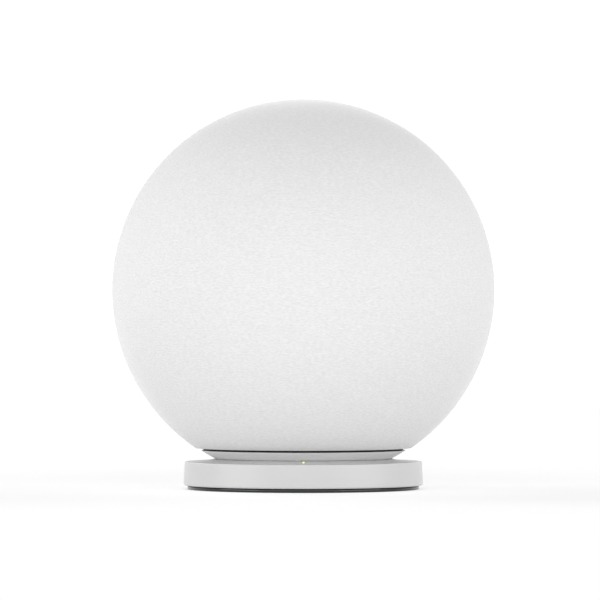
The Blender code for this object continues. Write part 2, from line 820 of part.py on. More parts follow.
def orb_contacts(finishes, orb):
    stem_radius = 0.9 * MM
    disc_top = PAD_FACE + 1.1 * MM
    stem_top = CHARGE_LOW - GAP
    outline = [
        (0, PAD_FACE),
        (PAD_RADIUS, PAD_FACE),
        (PAD_RADIUS, disc_top),
        (stem_radius, disc_top),
        (stem_radius, stem_top),
        (0, stem_top),
    ]
    for side, x in (("left", -PIN_X), ("right", PIN_X)):
        turned(f"contact_pad_{side}", outline, finishes["gold"], orb, SMALL_SEGMENTS, at=(x, 0, 0))
    radius, edge = 4.0 * MM, 0.3 * MM
    low, high = CAP_FLOOR + GAP, CHARGE_LOW - GAP
    magnet = [
        (0, low),
        (radius - edge, low),
        (radius, low + edge),
        (radius, high - edge),
        (radius - edge, high),
        (0, high),
    ]
    turned("orb_magnet", magnet, finishes["magnet"], orb, SMALL_SEGMENTS)


def charge_board(finishes, orb):
    radius = 17 * MM
    outline = [(0, CHARGE_LOW), (radius, CHARGE_LOW), (radius, CHARGE_HIGH), (0, CHARGE_HIGH)]
    turned("charge_board", outline, finishes["board"], orb)


def power_button(finishes, orb):
    face = CAP_BOTTOM + 0.3 * MM
    flange_low = CAP_FLOOR + GAP
    flange_high = flange_low + 0.5 * MM
    body = axis_empty("button", (0, BUTTON_Y, face), orb)
    outline = [
        (0, 0.15 * MM),
        (BUTTON_RADIUS - 0.9 * MM, 0),
        (BUTTON_RADIUS - 0.3 * MM, 0),
        (BUTTON_RADIUS, 0.3 * MM),
        (BUTTON_RADIUS, flange_low - face),
        (BUTTON_RADIUS + 0.9 * MM, flange_low - face),
        (BUTTON_RADIUS + 0.9 * MM, flange_high - face),
        (0, flange_high - face),
    ]
    turned("power_button", outline, finishes["grey"], body, SMALL_SEGMENTS)
    switch_low = flange_high + 0.6 * MM
    bm = bmesh.new()
    half = 2 * MM
    add_box(bm, (-half, BUTTON_Y - half, switch_low), (half, BUTTON_Y + half, CHARGE_LOW - 0.05 * MM))
    finish("button_switch", bm, finishes["black"], orb)


def orb_screws(finishes, orb):
    for number, angle in enumerate(SCREW_ANGLES, 1):
        at = polar(CAP_SCREW_RADIUS, angle)
        low = CAP_BOTTOM + 0.7 * MM
        screw(f"orb_screw_{number}", 1.1 * MM, 1.0 * MM, low, 10.2 * MM, at, finishes, orb)


# Orb: battery and electronics -------------------------------------------------
CELL_RADIUS, CELL_LENGTH = 9.2 * MM, 65 * MM
CELL_Y, CELL_Z = 9.7 * MM, -45.6 * MM
MAIN_LOW, MAIN_HIGH = -30.3 * MM, -28.7 * MM
PILLARS = [(x * 15 * MM, y * 26 * MM) for x in (-1, 1) for y in (-1, 1)]


def battery(finishes, orb):
    half = CELL_LENGTH / 2
    edge = 0.6 * MM
    outline = [
        (0, -half),
        (CELL_RADIUS - edge, -half),
        (CELL_RADIUS, edge - half),
        (CELL_RADIUS, half - 2.0 * MM),
        (CELL_RADIUS - edge, half - 1.2 * MM),
        (3 * MM, half - 1.2 * MM),
        (3 * MM, half),
        (0, half),
    ]
    for name, y, turn in (("front", -CELL_Y, 90), ("back", CELL_Y, -90)):
        place = {"at": (0, y, CELL_Z), "turn": (0, math.radians(turn), 0)}
        turned(f"battery_cell_{name}", outline, finishes["cell"], orb, **place)
    tray_radius = 37.5 * MM
    tray = [(0, TRAY_LOW), (tray_radius, TRAY_LOW), (tray_radius, TRAY_HIGH), (0, TRAY_HIGH)]
    tray = turned("battery_tray", tray, finishes["black"], orb, BIG_SEGMENTS)
    wall_inner, wall_outer = half + 0.7 * MM, half + 2.4 * MM

    def uprights(bm):
        for at in PILLARS:
            add_cylinder(bm, 2.4 * MM, TRAY_HIGH - 0.5 * MM, MAIN_LOW - GAP, at)
        for turn in (0, math.pi):
            low = (wall_inner, -9 * MM, TRAY_HIGH - 0.5 * MM)
            add_box(bm, low, (wall_outer, 9 * MM, -42 * MM), turn)

    def screw_holes(bm):
        for angle in SCREW_ANGLES:
            at = polar(CAP_SCREW_RADIUS, angle)
            add_cylinder(bm, 1.45 * MM, TRAY_LOW - MM, TRAY_HIGH + MM, at, TINY_SEGMENTS)

    join(tray, uprights)
    cut(tray, screw_holes)


def main_board(finishes, orb):
    radius = 47 * MM
    outline = [(0, MAIN_LOW), (radius, MAIN_LOW), (radius, MAIN_HIGH), (0, MAIN_HIGH)]
    turned("main_board", outline, finishes["board"], orb, BIG_SEGMENTS)
    low = MAIN_HIGH + GAP
    for name, middle, size, finish_name in (
        ("shield_can", (-12, -15), (28, 20, 2.8), "steel"),
        ("heat_sink", (22, -16), (16, 16, 3.4), "grey"),
    ):
        half_x, half_y = size[0] * MM / 2, size[1] * MM / 2
        x, y = middle[0] * MM, middle[1] * MM
        bm = bmesh.new()
        add_box(bm, (x - half_x, y - half_y, low), (x + half_x, y + half_y, low + size[2] * MM))
        made = finish(name, bm, finishes[finish_name], orb)
        if name == "heat_sink":
            cut(made, lambda bm: heat_sink_slots(bm, x, y, low))


def heat_sink_slots(bm, x, y, low):
    pitch, slots = 3.2 * MM, 4
    for i in range(slots):
        middle = x + pitch * (i - (slots - 1) / 2)
        start = (middle - 0.8 * MM, y - 10 * MM, low + 1.2 * MM)
        add_box(bm, start, (middle + 0.8 * MM, y + 10 * MM, low + 6 * MM))


# Orb: acoustic enclosure ------------------------------------------------------
TUB_X, TUB_Y, TUB_CORNER = 52 * MM, 48 * MM, 24 * MM
TUB_LOW, TUB_HIGH, TUB_WALL = -24 * MM, 21 * MM, 2.5 * MM
LID_LOW, LID_HIGH = TUB_HIGH + GAP, TUB_HIGH + GAP + 3 * MM
RADIATOR_HOLE = 19.6 * MM
LEAD_X, LEAD_Y = -20 * MM, 22 * MM


def tub_face(bm, height):
    """A rounded rectangle, as one flat face."""
    steps = 4
    corners = []
    for quarter, (side_x, side_y) in enumerate(((1, 1), (-1, 1), (-1, -1), (1, -1))):
        for i in range(steps + 1):
            angle = math.pi / 2 * (quarter + i / steps)
            x, y = polar(TUB_CORNER, angle)
            corners.append((side_x * (TUB_X - TUB_CORNER) + x, side_y * (TUB_Y - TUB_CORNER) + y))
    return bm.faces.new([bm.verts.new((x, y, height)) for x, y in corners])


def raise_face(bm, face, distance):
    made = bmesh.ops.extrude_face_region(bm, geom=[face])["geom"]
    verts = [v for v in made if isinstance(v, bmesh.types.BMVert)]
    bmesh.ops.translate(bm, verts=verts, vec=(0, 0, distance))
    return next(f for f in made if isinstance(f, bmesh.types.BMFace))


def enclosure(finishes, orb):
    bm = bmesh.new()
    top = raise_face(bm, tub_face(bm, TUB_LOW), TUB_HIGH - TUB_LOW)
    bm.normal_update()
    bmesh.ops.inset_region(bm, faces=[top], thickness=TUB_WALL, use_even_offset=True)
    sunk = bmesh.ops.extrude_discrete_faces(bm, faces=[top])["faces"][0]
    depth = TUB_HIGH - TUB_LOW - TUB_WALL
    bmesh.ops.translate(bm, verts=sunk.verts[:], vec=(0, 0, -depth))
    tub = finish("enclosure_tub", bm, finishes["grey"], orb)
    ear_low = FRAME_HALF + GAP

    def ears(bm):
        for side in (0, math.pi):
            low = (-EAR_HALF_WIDTH, TUB_Y - MM, ear_low)
            add_box(bm, low, (EAR_HALF_WIDTH, 58.5 * MM, ear_low + 3 * MM), side)

    def pegs(bm):
        for y in (-PEG_Y, PEG_Y):
            add_cylinder(bm, 1.5 * MM, -FRAME_HALF, ear_low + MM, (0, y), TINY_SEGMENTS)

    def holes(bm):
        reach = TUB_X + 4 * MM
        add_cylinder(bm, RADIATOR_HOLE, -reach, reach, (0, 0), MIDDLE_SEGMENTS, "X")
        add_cylinder(bm, 2.0 * MM, TUB_LOW - MM, TUB_LOW + 4 * MM, (LEAD_X, LEAD_Y), TINY_SEGMENTS)

    join(tub, ears)
    join(tub, pegs)
    cut(tub, holes)
    bm = bmesh.new()
    raise_face(bm, tub_face(bm, LID_LOW), LID_HIGH - LID_LOW)
    lid = finish("enclosure_lid", bm, finishes["grey"], orb)
    cut(lid, lambda bm: add_cylinder(bm, 27.5 * MM, LID_LOW - MM, LID_HIGH + MM, segments=MIDDLE_SEGMENTS))


# Orb: driver --------------------------------------------------------------------
FLANGE_LOW, FLANGE_HIGH = LID_HIGH + GAP, LID_HIGH + 2.9 * MM
COIL_INNER, COIL_OUTER = 10.5 * MM, 11.6 * MM
CONE_RIM_RADIUS, CONE_RIM_Z = 22.4 * MM, 26.2 * MM


def driver_frame(finishes, orb):
    flange_radius = 31.5 * MM
    basket = [
        (flange_radius, FLANGE_HIGH),
        (flange_radius, FLANGE_LOW),
        (27.0 * MM, FLANGE_LOW),
        (26.6 * MM, 24.0 * MM),
        (17.5 * MM, 6.3 * MM),
        (12.6 * MM, 6.3 * MM),
        (12.6 * MM, 7.8 * MM),
        (16.4 * MM, 7.8 * MM),
        (25.4 * MM, 25.2 * MM),
        (26.2 * MM, FLANGE_HIGH),
    ]
    made = turned("driver_basket", list(reversed(basket)), finishes["black"], orb)

    def windows(bm):
        for quarter in range(4):
            low = (14 * MM, -7 * MM, 11 * MM)
            add_box(bm, low, (30 * MM, 7 * MM, 21.5 * MM), math.pi / 2 * quarter)

    cut(made, windows)


def driver_motor(finishes, orb):
    cup = [
        (0, -7 * MM),
        (13.4 * MM, -7 * MM),
        (14 * MM, -6.4 * MM),
        (14 * MM, 6.0 * MM),
        (12.3 * MM, 6.0 * MM),
        (12.3 * MM, -5 * MM),
        (0, -5 * MM),
    ]
    turned("motor_cup", cup, finishes["steel"], orb)
    magnet = [(0, -4.7 * MM), (9.4 * MM, -4.7 * MM), (9.4 * MM, 2.0 * MM), (0, 2.0 * MM)]
    turned("motor_magnet", magnet, finishes["magnet"], orb)
    plate = [(0, 2.3 * MM), (10 * MM, 2.3 * MM), (10 * MM, 5.6 * MM), (0, 5.6 * MM)]
    turned("pole_plate", plate, finishes["steel"], orb)


def driver_moving_parts(finishes, orb):
    body = axis_empty("driver_diaphragm", (0, 0, 0), orb)
    coil_top = 9.4 * MM
    coil = [
        (COIL_INNER, -1.0 * MM),
        (COIL_OUTER, -1.0 * MM),
        (COIL_OUTER, 4.6 * MM),
        (COIL_OUTER - 0.6 * MM, 5.0 * MM),
        (COIL_OUTER - 0.6 * MM, coil_top),
        (COIL_INNER, coil_top),
    ]
    turned("voice_coil", coil, finishes["copper"], body)
    neck_low = coil_top + GAP
    cone = [
        (10.7 * MM, neck_low),
        (11.5 * MM, neck_low),
        (11.7 * MM, 10.9 * MM),
        (17.6 * MM, 17.6 * MM),
        (CONE_RIM_RADIUS, CONE_RIM_Z - 0.8 * MM),
        (CONE_RIM_RADIUS, CONE_RIM_Z),
        (17.0 * MM, 18.4 * MM),
        (10.9 * MM, 12.2 * MM),
    ]
    turned("driver_cone", cone, finishes["cone"], body)
    cap_radius, cap_low, cap_rise, skin = 10.2 * MM, 12.5 * MM, 3.0 * MM, 0.5 * MM
    steps = 4
    dome = [
        (cap_radius * math.cos(a), cap_low + cap_rise * math.sin(a))
        for a in (math.pi / 2 * i / steps for i in range(steps))
    ]
    inside = [(r * 0.95, z) for r, z in reversed(dome[1:])]
    inside = [(r, z - skin) for r, z in inside]
    outline = [
        (0, cap_low + cap_rise - skin),
        *inside,
        (cap_radius - skin, cap_low),
        *dome,
        (0, cap_low + cap_rise),
    ]
    turned("dust_cap", outline, finishes["cone"], body)


def driver_suspension(finishes, orb):
    outline = half_roll(
        roll_inner=22.9 * MM,
        roll_outer=26.9 * MM,
        foot_inner=20.9 * MM,
        foot_outer=29.0 * MM,
        base_inner=CONE_RIM_Z + GAP,
        base_outer=FLANGE_HIGH + GAP,
        thickness=0.5 * MM,
    )
    turned("driver_surround", outline, finishes["rubber"], orb)
    inner, outer, low, skin, waves = 11.9 * MM, 16.9 * MM, 9.4 * MM, 0.45 * MM, 6
    steps = [inner + (outer - inner) * i / waves for i in range(waves + 1)]
    lower = [(r, low + (0.5 * MM if i % 2 else 0)) for i, r in enumerate(steps)]
    upper = [(r, z + skin) for r, z in reversed(lower)]
    turned("driver_spider", lower + upper, finishes["spider"], orb)


# Orb: passive radiators -----------------------------------------------------------
PLATE_THICKNESS = 2.2 * MM


def passive_radiator(side, towards, finishes, orb):
    """A sprung plate in the tub's side wall. Its own frame has Z along the way it moves outwards."""
    turn = (0, towards * math.pi / 2, 0)
    wall_face = TUB_X
    body = axis_empty(f"radiator_{side}", (towards * wall_face, 0, 0), orb)
    base = GAP
    outline = half_roll(
        roll_inner=16.0 * MM,
        roll_outer=19.4 * MM,
        foot_inner=12.8 * MM,
        foot_outer=22.4 * MM,
        base_inner=base,
        base_outer=base,
        thickness=0.6 * MM,
    )
    at = (towards * wall_face, 0, 0)
    turned(f"radiator_surround_{side}", outline, finishes["rubber"], orb, at=at, turn=turn)
    mass_radius = 7 * MM
    plate_radius = 15.6 * MM
    plate = [
        (0, -8 * MM),
        (mass_radius, -8 * MM),
        (mass_radius, -PLATE_THICKNESS),
        (plate_radius, -PLATE_THICKNESS),
        (plate_radius, 0),
        (12.4 * MM, 0),
        (9 * MM, -0.7 * MM),
        (0, -0.7 * MM),
    ]
    turned(f"radiator_plate_{side}", plate, finishes["steel"], body, turn=turn)


# Orb: diffuser, microphone board and leads -------------------------------------------
MIC_LOW, MIC_HIGH = 58.5 * MM, 60.0 * MM


def sound_diffuser(finishes, orb):
    skin = 2.0 * MM
    rim = 37 * MM
    tip, top = 31.5 * MM, 43.5 * MM
    steps = 4
    rise = top - skin - tip
    flare = [(rim * i / steps, tip + rise * math.sin(math.pi / 2 * i / steps)) for i in range(steps + 1)]
    inside = [(r * 0.93, z + skin) for r, z in reversed(flare[1:])]
    outline = [(0, tip), *flare[1:], (rim, top), *inside, (0, tip + skin)]
    diffuser = turned("sound_diffuser", outline, finishes["black"], orb)

    def legs(bm):
        for angle in SCREW_ANGLES:
            add_cylinder(bm, 1.9 * MM, LID_HIGH + GAP, top - MM, polar(34.8 * MM, angle), TINY_SEGMENTS)

    def pillars(bm):
        for angle in SCREW_ANGLES:
            at = polar(24 * MM, angle + math.pi)
            add_cylinder(bm, 1.7 * MM, top - skin, MIC_LOW - GAP, at, TINY_SEGMENTS)

    join(diffuser, legs)
    join(diffuser, pillars)


def microphone_board(finishes, orb):
    radius = 27 * MM
    outline = [(0, MIC_LOW), (radius, MIC_LOW), (radius, MIC_HIGH), (0, MIC_HIGH)]
    turned("microphone_board", outline, finishes["board"], orb)


def ribbon(name, points, width, thickness, finish_material, parent):
    """A flat cable across X, along a route of (y, z) points."""
    bm = bmesh.new()
    rows = []
    for i, point in enumerate(points):
        before = Vector(points[max(i - 1, 0)])
        after = Vector(points[min(i + 1, len(points) - 1)])
        along = (after - before).normalized()
        across = Vector((-along.y, along.x)) * thickness / 2
        at = Vector(point)
        row = []
        for x, shift in ((-width / 2, 1), (width / 2, 1), (width / 2, -1), (-width / 2, -1)):
            y, z = at + shift * across
            row.append(bm.verts.new((x, y, z)))
        rows.append(row)
    for low, high in zip(rows, rows[1:]):
        for i in range(4):
            bm.faces.new((low[i], low[(i + 1) % 4], high[(i + 1) % 4], high[i]))
    bm.faces.new(rows[0])
    bm.faces.new(rows[-1])
    return finish(name, bm, finish_material, parent, at=(20 * MM, 0, 0))


def leads(finishes, orb):
    route = [
        (38, -27.6),
        (44, -27.0),
        (50, -23),
        (53, -15),
        (53.5, 0),
        (53, 15),
        (51.5, 28),
        (47.5, 39),
        (40, 49),
        (31, 55),
        (22.5, 57.2),
        (16, 57.9),
    ]
    route = [(y * MM, z * MM) for y, z in route]
    ribbon("microphone_ribbon", route, 7 * MM, 0.4 * MM, finishes["ribbon"], orb)
    lead = [
        (LEAD_X, LEAD_Y, MAIN_HIGH + GAP + 0.1 * MM),
        (LEAD_X, LEAD_Y, TUB_LOW),
        (LEAD_X, LEAD_Y, TUB_LOW + 8 * MM),
        (-22 * MM, 21 * MM, -6 * MM),
        (-20 * MM, 17 * MM, 2 * MM),
        (-15.5 * MM, 14.0 * MM, 5.0 * MM),
    ]
    wire("speaker_lead", lead, 0.9 * MM, finishes["wire"], orb)
    power = [
        (38.5 * MM, 0, -46 * MM),
        (40.0 * MM, 0, -42 * MM),
        (40.5 * MM, 1 * MM, -37 * MM),
        (40 * MM, 2 * MM, MAIN_LOW - GAP - 0.2 * MM),
    ]
    wire("battery_lead", power, 0.9 * MM, finishes["wire"], orb)


def make_orb(finishes):
    orb = axis_empty("orb", (0, 0, ORB_CENTRE_Z))
    fabric_cover(finishes, orb)
    shells(finishes, orb)
    mid_frame(finishes, orb)
    seam_ring(finishes, orb)
    bottom_cap(finishes, orb)
    orb_contacts(finishes, orb)
    charge_board(finishes, orb)
    power_button(finishes, orb)
    orb_screws(finishes, orb)
    battery(finishes, orb)
    main_board(finishes, orb)
    enclosure(finishes, orb)
    driver_frame(finishes, orb)
    driver_motor(finishes, orb)
    driver_moving_parts(finishes, orb)
    driver_suspension(finishes, orb)
    for side, towards in (("left", -1), ("right", 1)):
        passive_radiator(side, towards, finishes, orb)
    sound_diffuser(finishes, orb)
    microphone_board(finishes, orb)
    leads(finishes, orb)


def main():
    clear_scene()
    finishes = make_materials()
    make_dock(finishes)
    make_orb(finishes)


main()
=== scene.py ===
"""The looks of a cordless smart speaker: a knitted orb that lifts off a round charging dock.

Lengths in the constants are millimetres and become metres through MM. Heights and radii that the
frame already holds are read from it.
"""

import math

import bmesh
import bpy
from mathutils import Matrix, Vector, noise


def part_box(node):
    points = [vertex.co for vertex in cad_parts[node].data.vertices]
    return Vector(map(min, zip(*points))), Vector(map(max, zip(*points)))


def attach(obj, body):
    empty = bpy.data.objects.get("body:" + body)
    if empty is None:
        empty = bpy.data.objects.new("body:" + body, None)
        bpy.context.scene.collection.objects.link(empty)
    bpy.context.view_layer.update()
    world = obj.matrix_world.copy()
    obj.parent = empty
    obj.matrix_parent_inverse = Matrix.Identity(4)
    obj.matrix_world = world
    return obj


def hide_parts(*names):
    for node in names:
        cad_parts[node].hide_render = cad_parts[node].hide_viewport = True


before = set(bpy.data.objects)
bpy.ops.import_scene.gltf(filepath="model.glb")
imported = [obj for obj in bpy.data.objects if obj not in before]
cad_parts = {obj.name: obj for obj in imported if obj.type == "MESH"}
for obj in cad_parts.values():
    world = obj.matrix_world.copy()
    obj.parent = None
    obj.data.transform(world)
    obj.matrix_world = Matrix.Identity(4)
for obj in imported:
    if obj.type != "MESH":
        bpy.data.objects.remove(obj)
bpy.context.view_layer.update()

MM = 0.001
AROUND = 192  # facets round a large turned piece
AROUND_SMALL = 64
SHARP_ANGLE = math.radians(35)  # edges bent more than this stay sharp


# Sizes read from the frame ---------------------------------------------------
def corners(node):
    low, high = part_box(node)
    return Vector(low), Vector(high)


def middle(node):
    low, high = corners(node)
    return (low + high) / 2


def half_width(node):
    low, high = corners(node)
    return (high.x - low.x) / 2


ORB_RADIUS = half_width("fabric_cover")
ORB_Z = corners("fabric_cover")[1].z - ORB_RADIUS
HEM_Z = corners("fabric_cover")[0].z
CAP_BOTTOM = corners("bottom_cap")[0].z
DOCK_RADIUS = half_width("dock_shell")
DOCK_LOW = corners("dock_shell")[0].z
LIP_TOP = corners("dock_shell")[1].z
FOOT_RADIUS = half_width("foot_ring")
FOOT_TOP = corners("foot_ring")[1].z
PLATE_RADIUS = half_width("dock_bottom_plate")
PLATE_TOP = corners("dock_bottom_plate")[1].z
PINS = {side: middle(f"pin_barrel_{side}") for side in ("left", "right")}
LIGHT = middle("led_lens")
DOCK_SCREWS = [f"dock_screw_{i}" for i in (1, 2, 3)]
ORB_SCREWS = [f"orb_screw_{i}" for i in (1, 2, 3)]

# Sizes that only the finished surface has --------------------------------------
COVER_THICKNESS = 0.7 * MM
COVER_WAVE, COVER_WAVES_PER_METRE = 0.05 * MM, 45
KNIT_ROW = 1.14 * MM
SEAM_GAP = 0.8 * MM
CAP_SPHERE = ORB_RADIUS - 0.4 * MM
CAP_WALL = 1.8 * MM
DOCK_TOP = LIP_TOP - 1.0 * MM
DOCK_TAPER = 0.45 * MM
DOCK_WALL = 1.8 * MM
LIP_RADIUS = 33.9 * MM
FLARE_RADIUS = 39.8 * MM
DISH_FLOOR = CAP_BOTTOM - 0.3 * MM
DISH_CLEARANCE = 0.35 * MM
GROOVE_INNER = 29.7 * MM
GROOVE_OUTER = 42.1 * MM
PAD_LOW = corners("dish_pad")[0].z
PAD_OUTER = half_width("dish_pad")
PAD_FIELD = DISH_FLOOR - 0.6 * MM


def sphere_ring(radius, z):
    """Radius of the circle that the plane at this height cuts from a sphere round the orb's centre."""
    return math.sqrt(radius**2 - (z - ORB_Z) ** 2)


# Mesh tools -------------------------------------------------------------------
def new_object(name, data):
    obj = bpy.data.objects.new(name, data)
    bpy.context.scene.collection.objects.link(obj)
    return obj


def from_bmesh(name, bm, sharp=SHARP_ANGLE):
    bmesh.ops.recalc_face_normals(bm, faces=bm.faces)
    mesh = bpy.data.meshes.new(name)
    bm.to_mesh(mesh)
    bm.free()
    mesh.shade_smooth()
    if sharp:
        mesh.set_sharp_from_angle(angle=sharp)
    return new_object(name, mesh)


def filleted(corners_list, steps=5):
    """Rounds an outline. A corner is (r, z) or (r, z, fillet radius)."""
    points = []
    last = len(corners_list) - 1
    for i, corner in enumerate(corners_list):
        at = Vector(corner[:2])
        radius = corner[2] if len(corner) > 2 else 0
        if not radius:
            points.append(at)
            continue
        before = Vector(corners_list[i - 1][:2]) - at
        after = Vector(corners_list[i + 1 if i < last else 0][:2]) - at
        half = before.angle(after) / 2
        reach = min(radius / math.tan(half), before.length * 0.49, after.length * 0.49)
        start = at + before.normalized() * reach
        end = at + after.normalized() * reach
        bend = reach * math.tan(half)
        centre = at + (before.normalized() + after.normalized()).normalized() * bend / math.sin(half)
        arm = start - centre
        sweep = arm.angle_signed(end - centre)
        for step in range(steps + 1):
            turned_arm = arm.copy()
            turned_arm.rotate(Matrix.Rotation(-sweep * step / steps, 2))
            points.append(centre + turned_arm)
    return points


def post(name, radius, low, high, at):
    """A plain round post with its foot at low and its end at high."""
    outline = [(0, low), (radius, low), (radius, high), (0, high)]
    return lathe(name, outline, AROUND_SMALL, at=(at.x, at.y, 0))


def lathe(name, outline, segments=AROUND, at=(0, 0, 0), sharp=SHARP_ANGLE):
    """Turns an outline of (r, z) points about Z. It closes on the axis, or else on itself."""
    bm = bmesh.new()
    rings = []
    for r, z in outline:
        if r < 1e-9:
            rings.append([bm.verts.new((0, 0, z))] * segments)
            continue
        rings.append(
            [
                bm.verts.new((r * math.cos(a), r * math.sin(a), z))
                for a in (math.tau * i / segments for i in range(segments))
            ]
        )
    pairs = list(zip(rings, rings[1:]))
    if not (outline[0][0] < 1e-9 and outline[-1][0] < 1e-9):
        pairs.append((rings[-1], rings[0]))
    for lower, upper in pairs:
        for i in range(segments):
            j = (i + 1) % segments
            face = [lower[i], lower[j], upper[j], upper[i]]
            unique = [v for k, v in enumerate(face) if v not in face[:k]]
            if len(unique) > 2:
                bm.faces.new(unique)
    bmesh.ops.translate(bm, verts=bm.verts, vec=at)
    return from_bmesh(name, bm, sharp)


def prism(name, section, low, high):
    """Extrudes a section of (x, z) points along Y."""
    bm = bmesh.new()
    face = bm.faces.new([bm.verts.new((x, low, z)) for x, z in section])
    moved = bmesh.ops.extrude_face_region(bm, geom=[face])["geom"]
    ends = [v for v in moved if isinstance(v, bmesh.types.BMVert)]
    bmesh.ops.translate(bm, verts=ends, vec=(0, high - low, 0))
    return from_bmesh(name, bm)


def block(name, low, high, round_off=0.0, turn=0.0):
    """A box with rounded edges, turned about Z."""
    bm = bmesh.new()
    bmesh.ops.create_cube(bm, size=1)
    low, high = Vector(low), Vector(high)
    bmesh.ops.scale(bm, verts=bm.verts, vec=high - low)
    if round_off:
        bmesh.ops.bevel(bm, geom=bm.edges[:], offset=round_off, segments=3, affect="EDGES", profile=0.5)
    bmesh.ops.translate(bm, verts=bm.verts, vec=(low + high) / 2)
    bmesh.ops.rotate(bm, verts=bm.verts, matrix=Matrix.Rotation(turn, 3, "Z"))
    return from_bmesh(name, bm)


def merged(name, objects):
    """One object made of several, which it replaces."""
    bm = bmesh.new()
    for obj in objects:
        bm.from_mesh(obj.data)
        bpy.data.objects.remove(obj)
    return from_bmesh(name, bm)


def bake_modifiers(obj):
    """Applies the modifiers to the mesh."""
    graph = bpy.context.evaluated_depsgraph_get()
    mesh = bpy.data.meshes.new_from_object(obj.evaluated_get(graph), depsgraph=graph)
    obj.modifiers.clear()
    obj.data = mesh
    mesh.set_sharp_from_angle(angle=SHARP_ANGLE)


def boolean(obj, tools, operation="DIFFERENCE"):
    """Cuts the tools from obj, or joins them to it, and removes them."""
    tools = list(tools)
    for tool in tools:
        modifier = obj.modifiers.new(operation, "BOOLEAN")
        modifier.operation = operation
        modifier.solver = "EXACT"
        modifier.object = tool
    bake_modifiers(obj)
    for tool in tools:
        bpy.data.objects.remove(tool)
    return obj


def even_shading(obj):
    """Flat faces keep flat shading next to the narrow faces of a rounded edge."""
    modifier = obj.modifiers.new("Normals", "WEIGHTED_NORMAL")
    modifier.keep_sharp = True
    return obj


def drill(radius, low, high, mouth=0.0, at=(0, 0), upwards=True, segments=AROUND_SMALL):
    """A cutter for a round hole whose mouth, at the top if upwards, is rounded outwards by mouth."""
    steps = 4
    lip = [
        (radius + mouth - mouth * math.cos(a), high - mouth + mouth * math.sin(a))
        for a in (math.pi / 2 * i / steps for i in range(steps + 1))
    ]
    beyond = high + 0.5 * MM
    outline = [(0, low), (radius, low), *lip, (radius + mouth, beyond), (0, beyond)]
    if not upwards:
        outline = [(r, low + high - z) for r, z in outline]
    return lathe("drill", outline, segments, at=(*at, 0))


# Materials ----------------------------------------------------------------------
def add_node(tree, kind, links, **values):
    """Adds a node. Each input in links gets a link from a socket, or a plain value."""
    made = tree.nodes.new(kind)
    for key, value in values.items():
        setattr(made, key, value)
    for socket, value in links.items():
        if isinstance(value, bpy.types.NodeSocket):
            tree.links.new(value, made.inputs[socket])
        else:
            made.inputs[socket].default_value = value
    return made


class Shading:
    """A material's node tree, built link by link around a Principled BSDF."""

    def __init__(self, name, colour, roughness, metallic=0.0, **sockets):
        self.material = bpy.data.materials.new(name)
        self.material.use_nodes = True
        self.tree = self.material.node_tree
        self.bsdf = self.tree.nodes["Principled BSDF"]
        self.colour = colour
        self.set("Base Color", (*colour, 1))
        self.set("Roughness", roughness)
        self.set("Metallic", metallic)
        for socket, value in sockets.items():
            self.set(socket.replace("_", " "), value)
        self.place = self.node("ShaderNodeTexCoord").outputs["Object"]

    def set(self, socket, value):
        self.bsdf.inputs[socket].default_value = value

    def node(self, kind, links=None, **values):
        return add_node(self.tree, kind, links or {}, **values)

    def link(self, output, socket):
        self.tree.links.new(output, self.bsdf.inputs[socket])

    def scaled(self, vector, scale):
        """Coordinates times a scale for each axis."""
        return self.node("ShaderNodeMapping", {"Vector": vector, "Scale": scale}).outputs["Vector"]

    def wrapped_round_orb(self):
        """X, Y and the distance above the orb's equator along its surface, and that distance alone."""
        parts = self.node("ShaderNodeSeparateXYZ", {0: self.place}).outputs
        share = self.maths("DIVIDE", self.maths("SUBTRACT", parts["Z"], ORB_Z), ORB_RADIUS)
        height = self.maths("MULTIPLY", self.maths("ARCSINE", share), ORB_RADIUS)
        joined = self.node("ShaderNodeCombineXYZ", {0: parts["X"], 1: parts["Y"], 2: height})
        return joined.outputs[0], height

    def height(self):
        """The height above the table at rest, in metres."""
        return self.node("ShaderNodeSeparateXYZ", {0: self.place}).outputs["Z"]

    def mixture(self, *shares):
        """The sum of values, each times its share."""
        total = 0.0
        for value, share in shares:
            total = self.maths("ADD", self.maths("MULTIPLY", value, share), total)
        return total

    def noise(self, scale, detail=3.0, roughness=0.5, vector=None, distortion=0.0):
        links = {
            "Vector": vector or self.place,
            "Scale": scale,
            "Detail": detail,
            "Roughness": roughness,
            "Distortion": distortion,
        }
        return self.node("ShaderNodeTexNoise", links).outputs["Fac"]

    def cells(self, vector):
        """The distance to the middle of the nearest cell, about one cell to a unit."""
        return self.node("ShaderNodeTexVoronoi", {"Vector": vector, "Scale": 1.0}).outputs["Distance"]

    def bands(self, scale, direction):
        links = {"Vector": self.place, "Scale": scale}
        return self.node("ShaderNodeTexWave", links, bands_direction=direction).outputs["Fac"]

    def between(self, value, low, high, to_low, to_high):
        links = {"Value": value, "From Min": low, "From Max": high, "To Min": to_low, "To Max": to_high}
        return self.node("ShaderNodeMapRange", links).outputs["Result"]

    def maths(self, operation, a, b=0.0):
        return self.node("ShaderNodeMath", {0: a, 1: b}, operation=operation).outputs[0]

    def shade(self, factor, dark, light):
        """The base colour runs from colour times dark to colour times light as factor goes from 0 to 1."""
        made = self.node("ShaderNodeMix", data_type="RGBA")
        self.tree.links.new(factor, made.inputs["Factor"])
        made.inputs["A"].default_value = (*[c * dark for c in self.colour], 1)
        made.inputs["B"].default_value = (*[c * light for c in self.colour], 1)
        self.link(made.outputs["Result"], "Base Color")

    def relief(self, *layers):
        """Bump layers of (height, depth in metres, strength), the coarsest first."""
        normal = None
        for height, depth, strength in layers:
            links = {"Height": height, "Distance": depth, "Strength": strength}
            if normal:
                links["Normal"] = normal
            normal = self.node("ShaderNodeBump", links).outputs["Normal"]
        self.link(normal, "Normal")


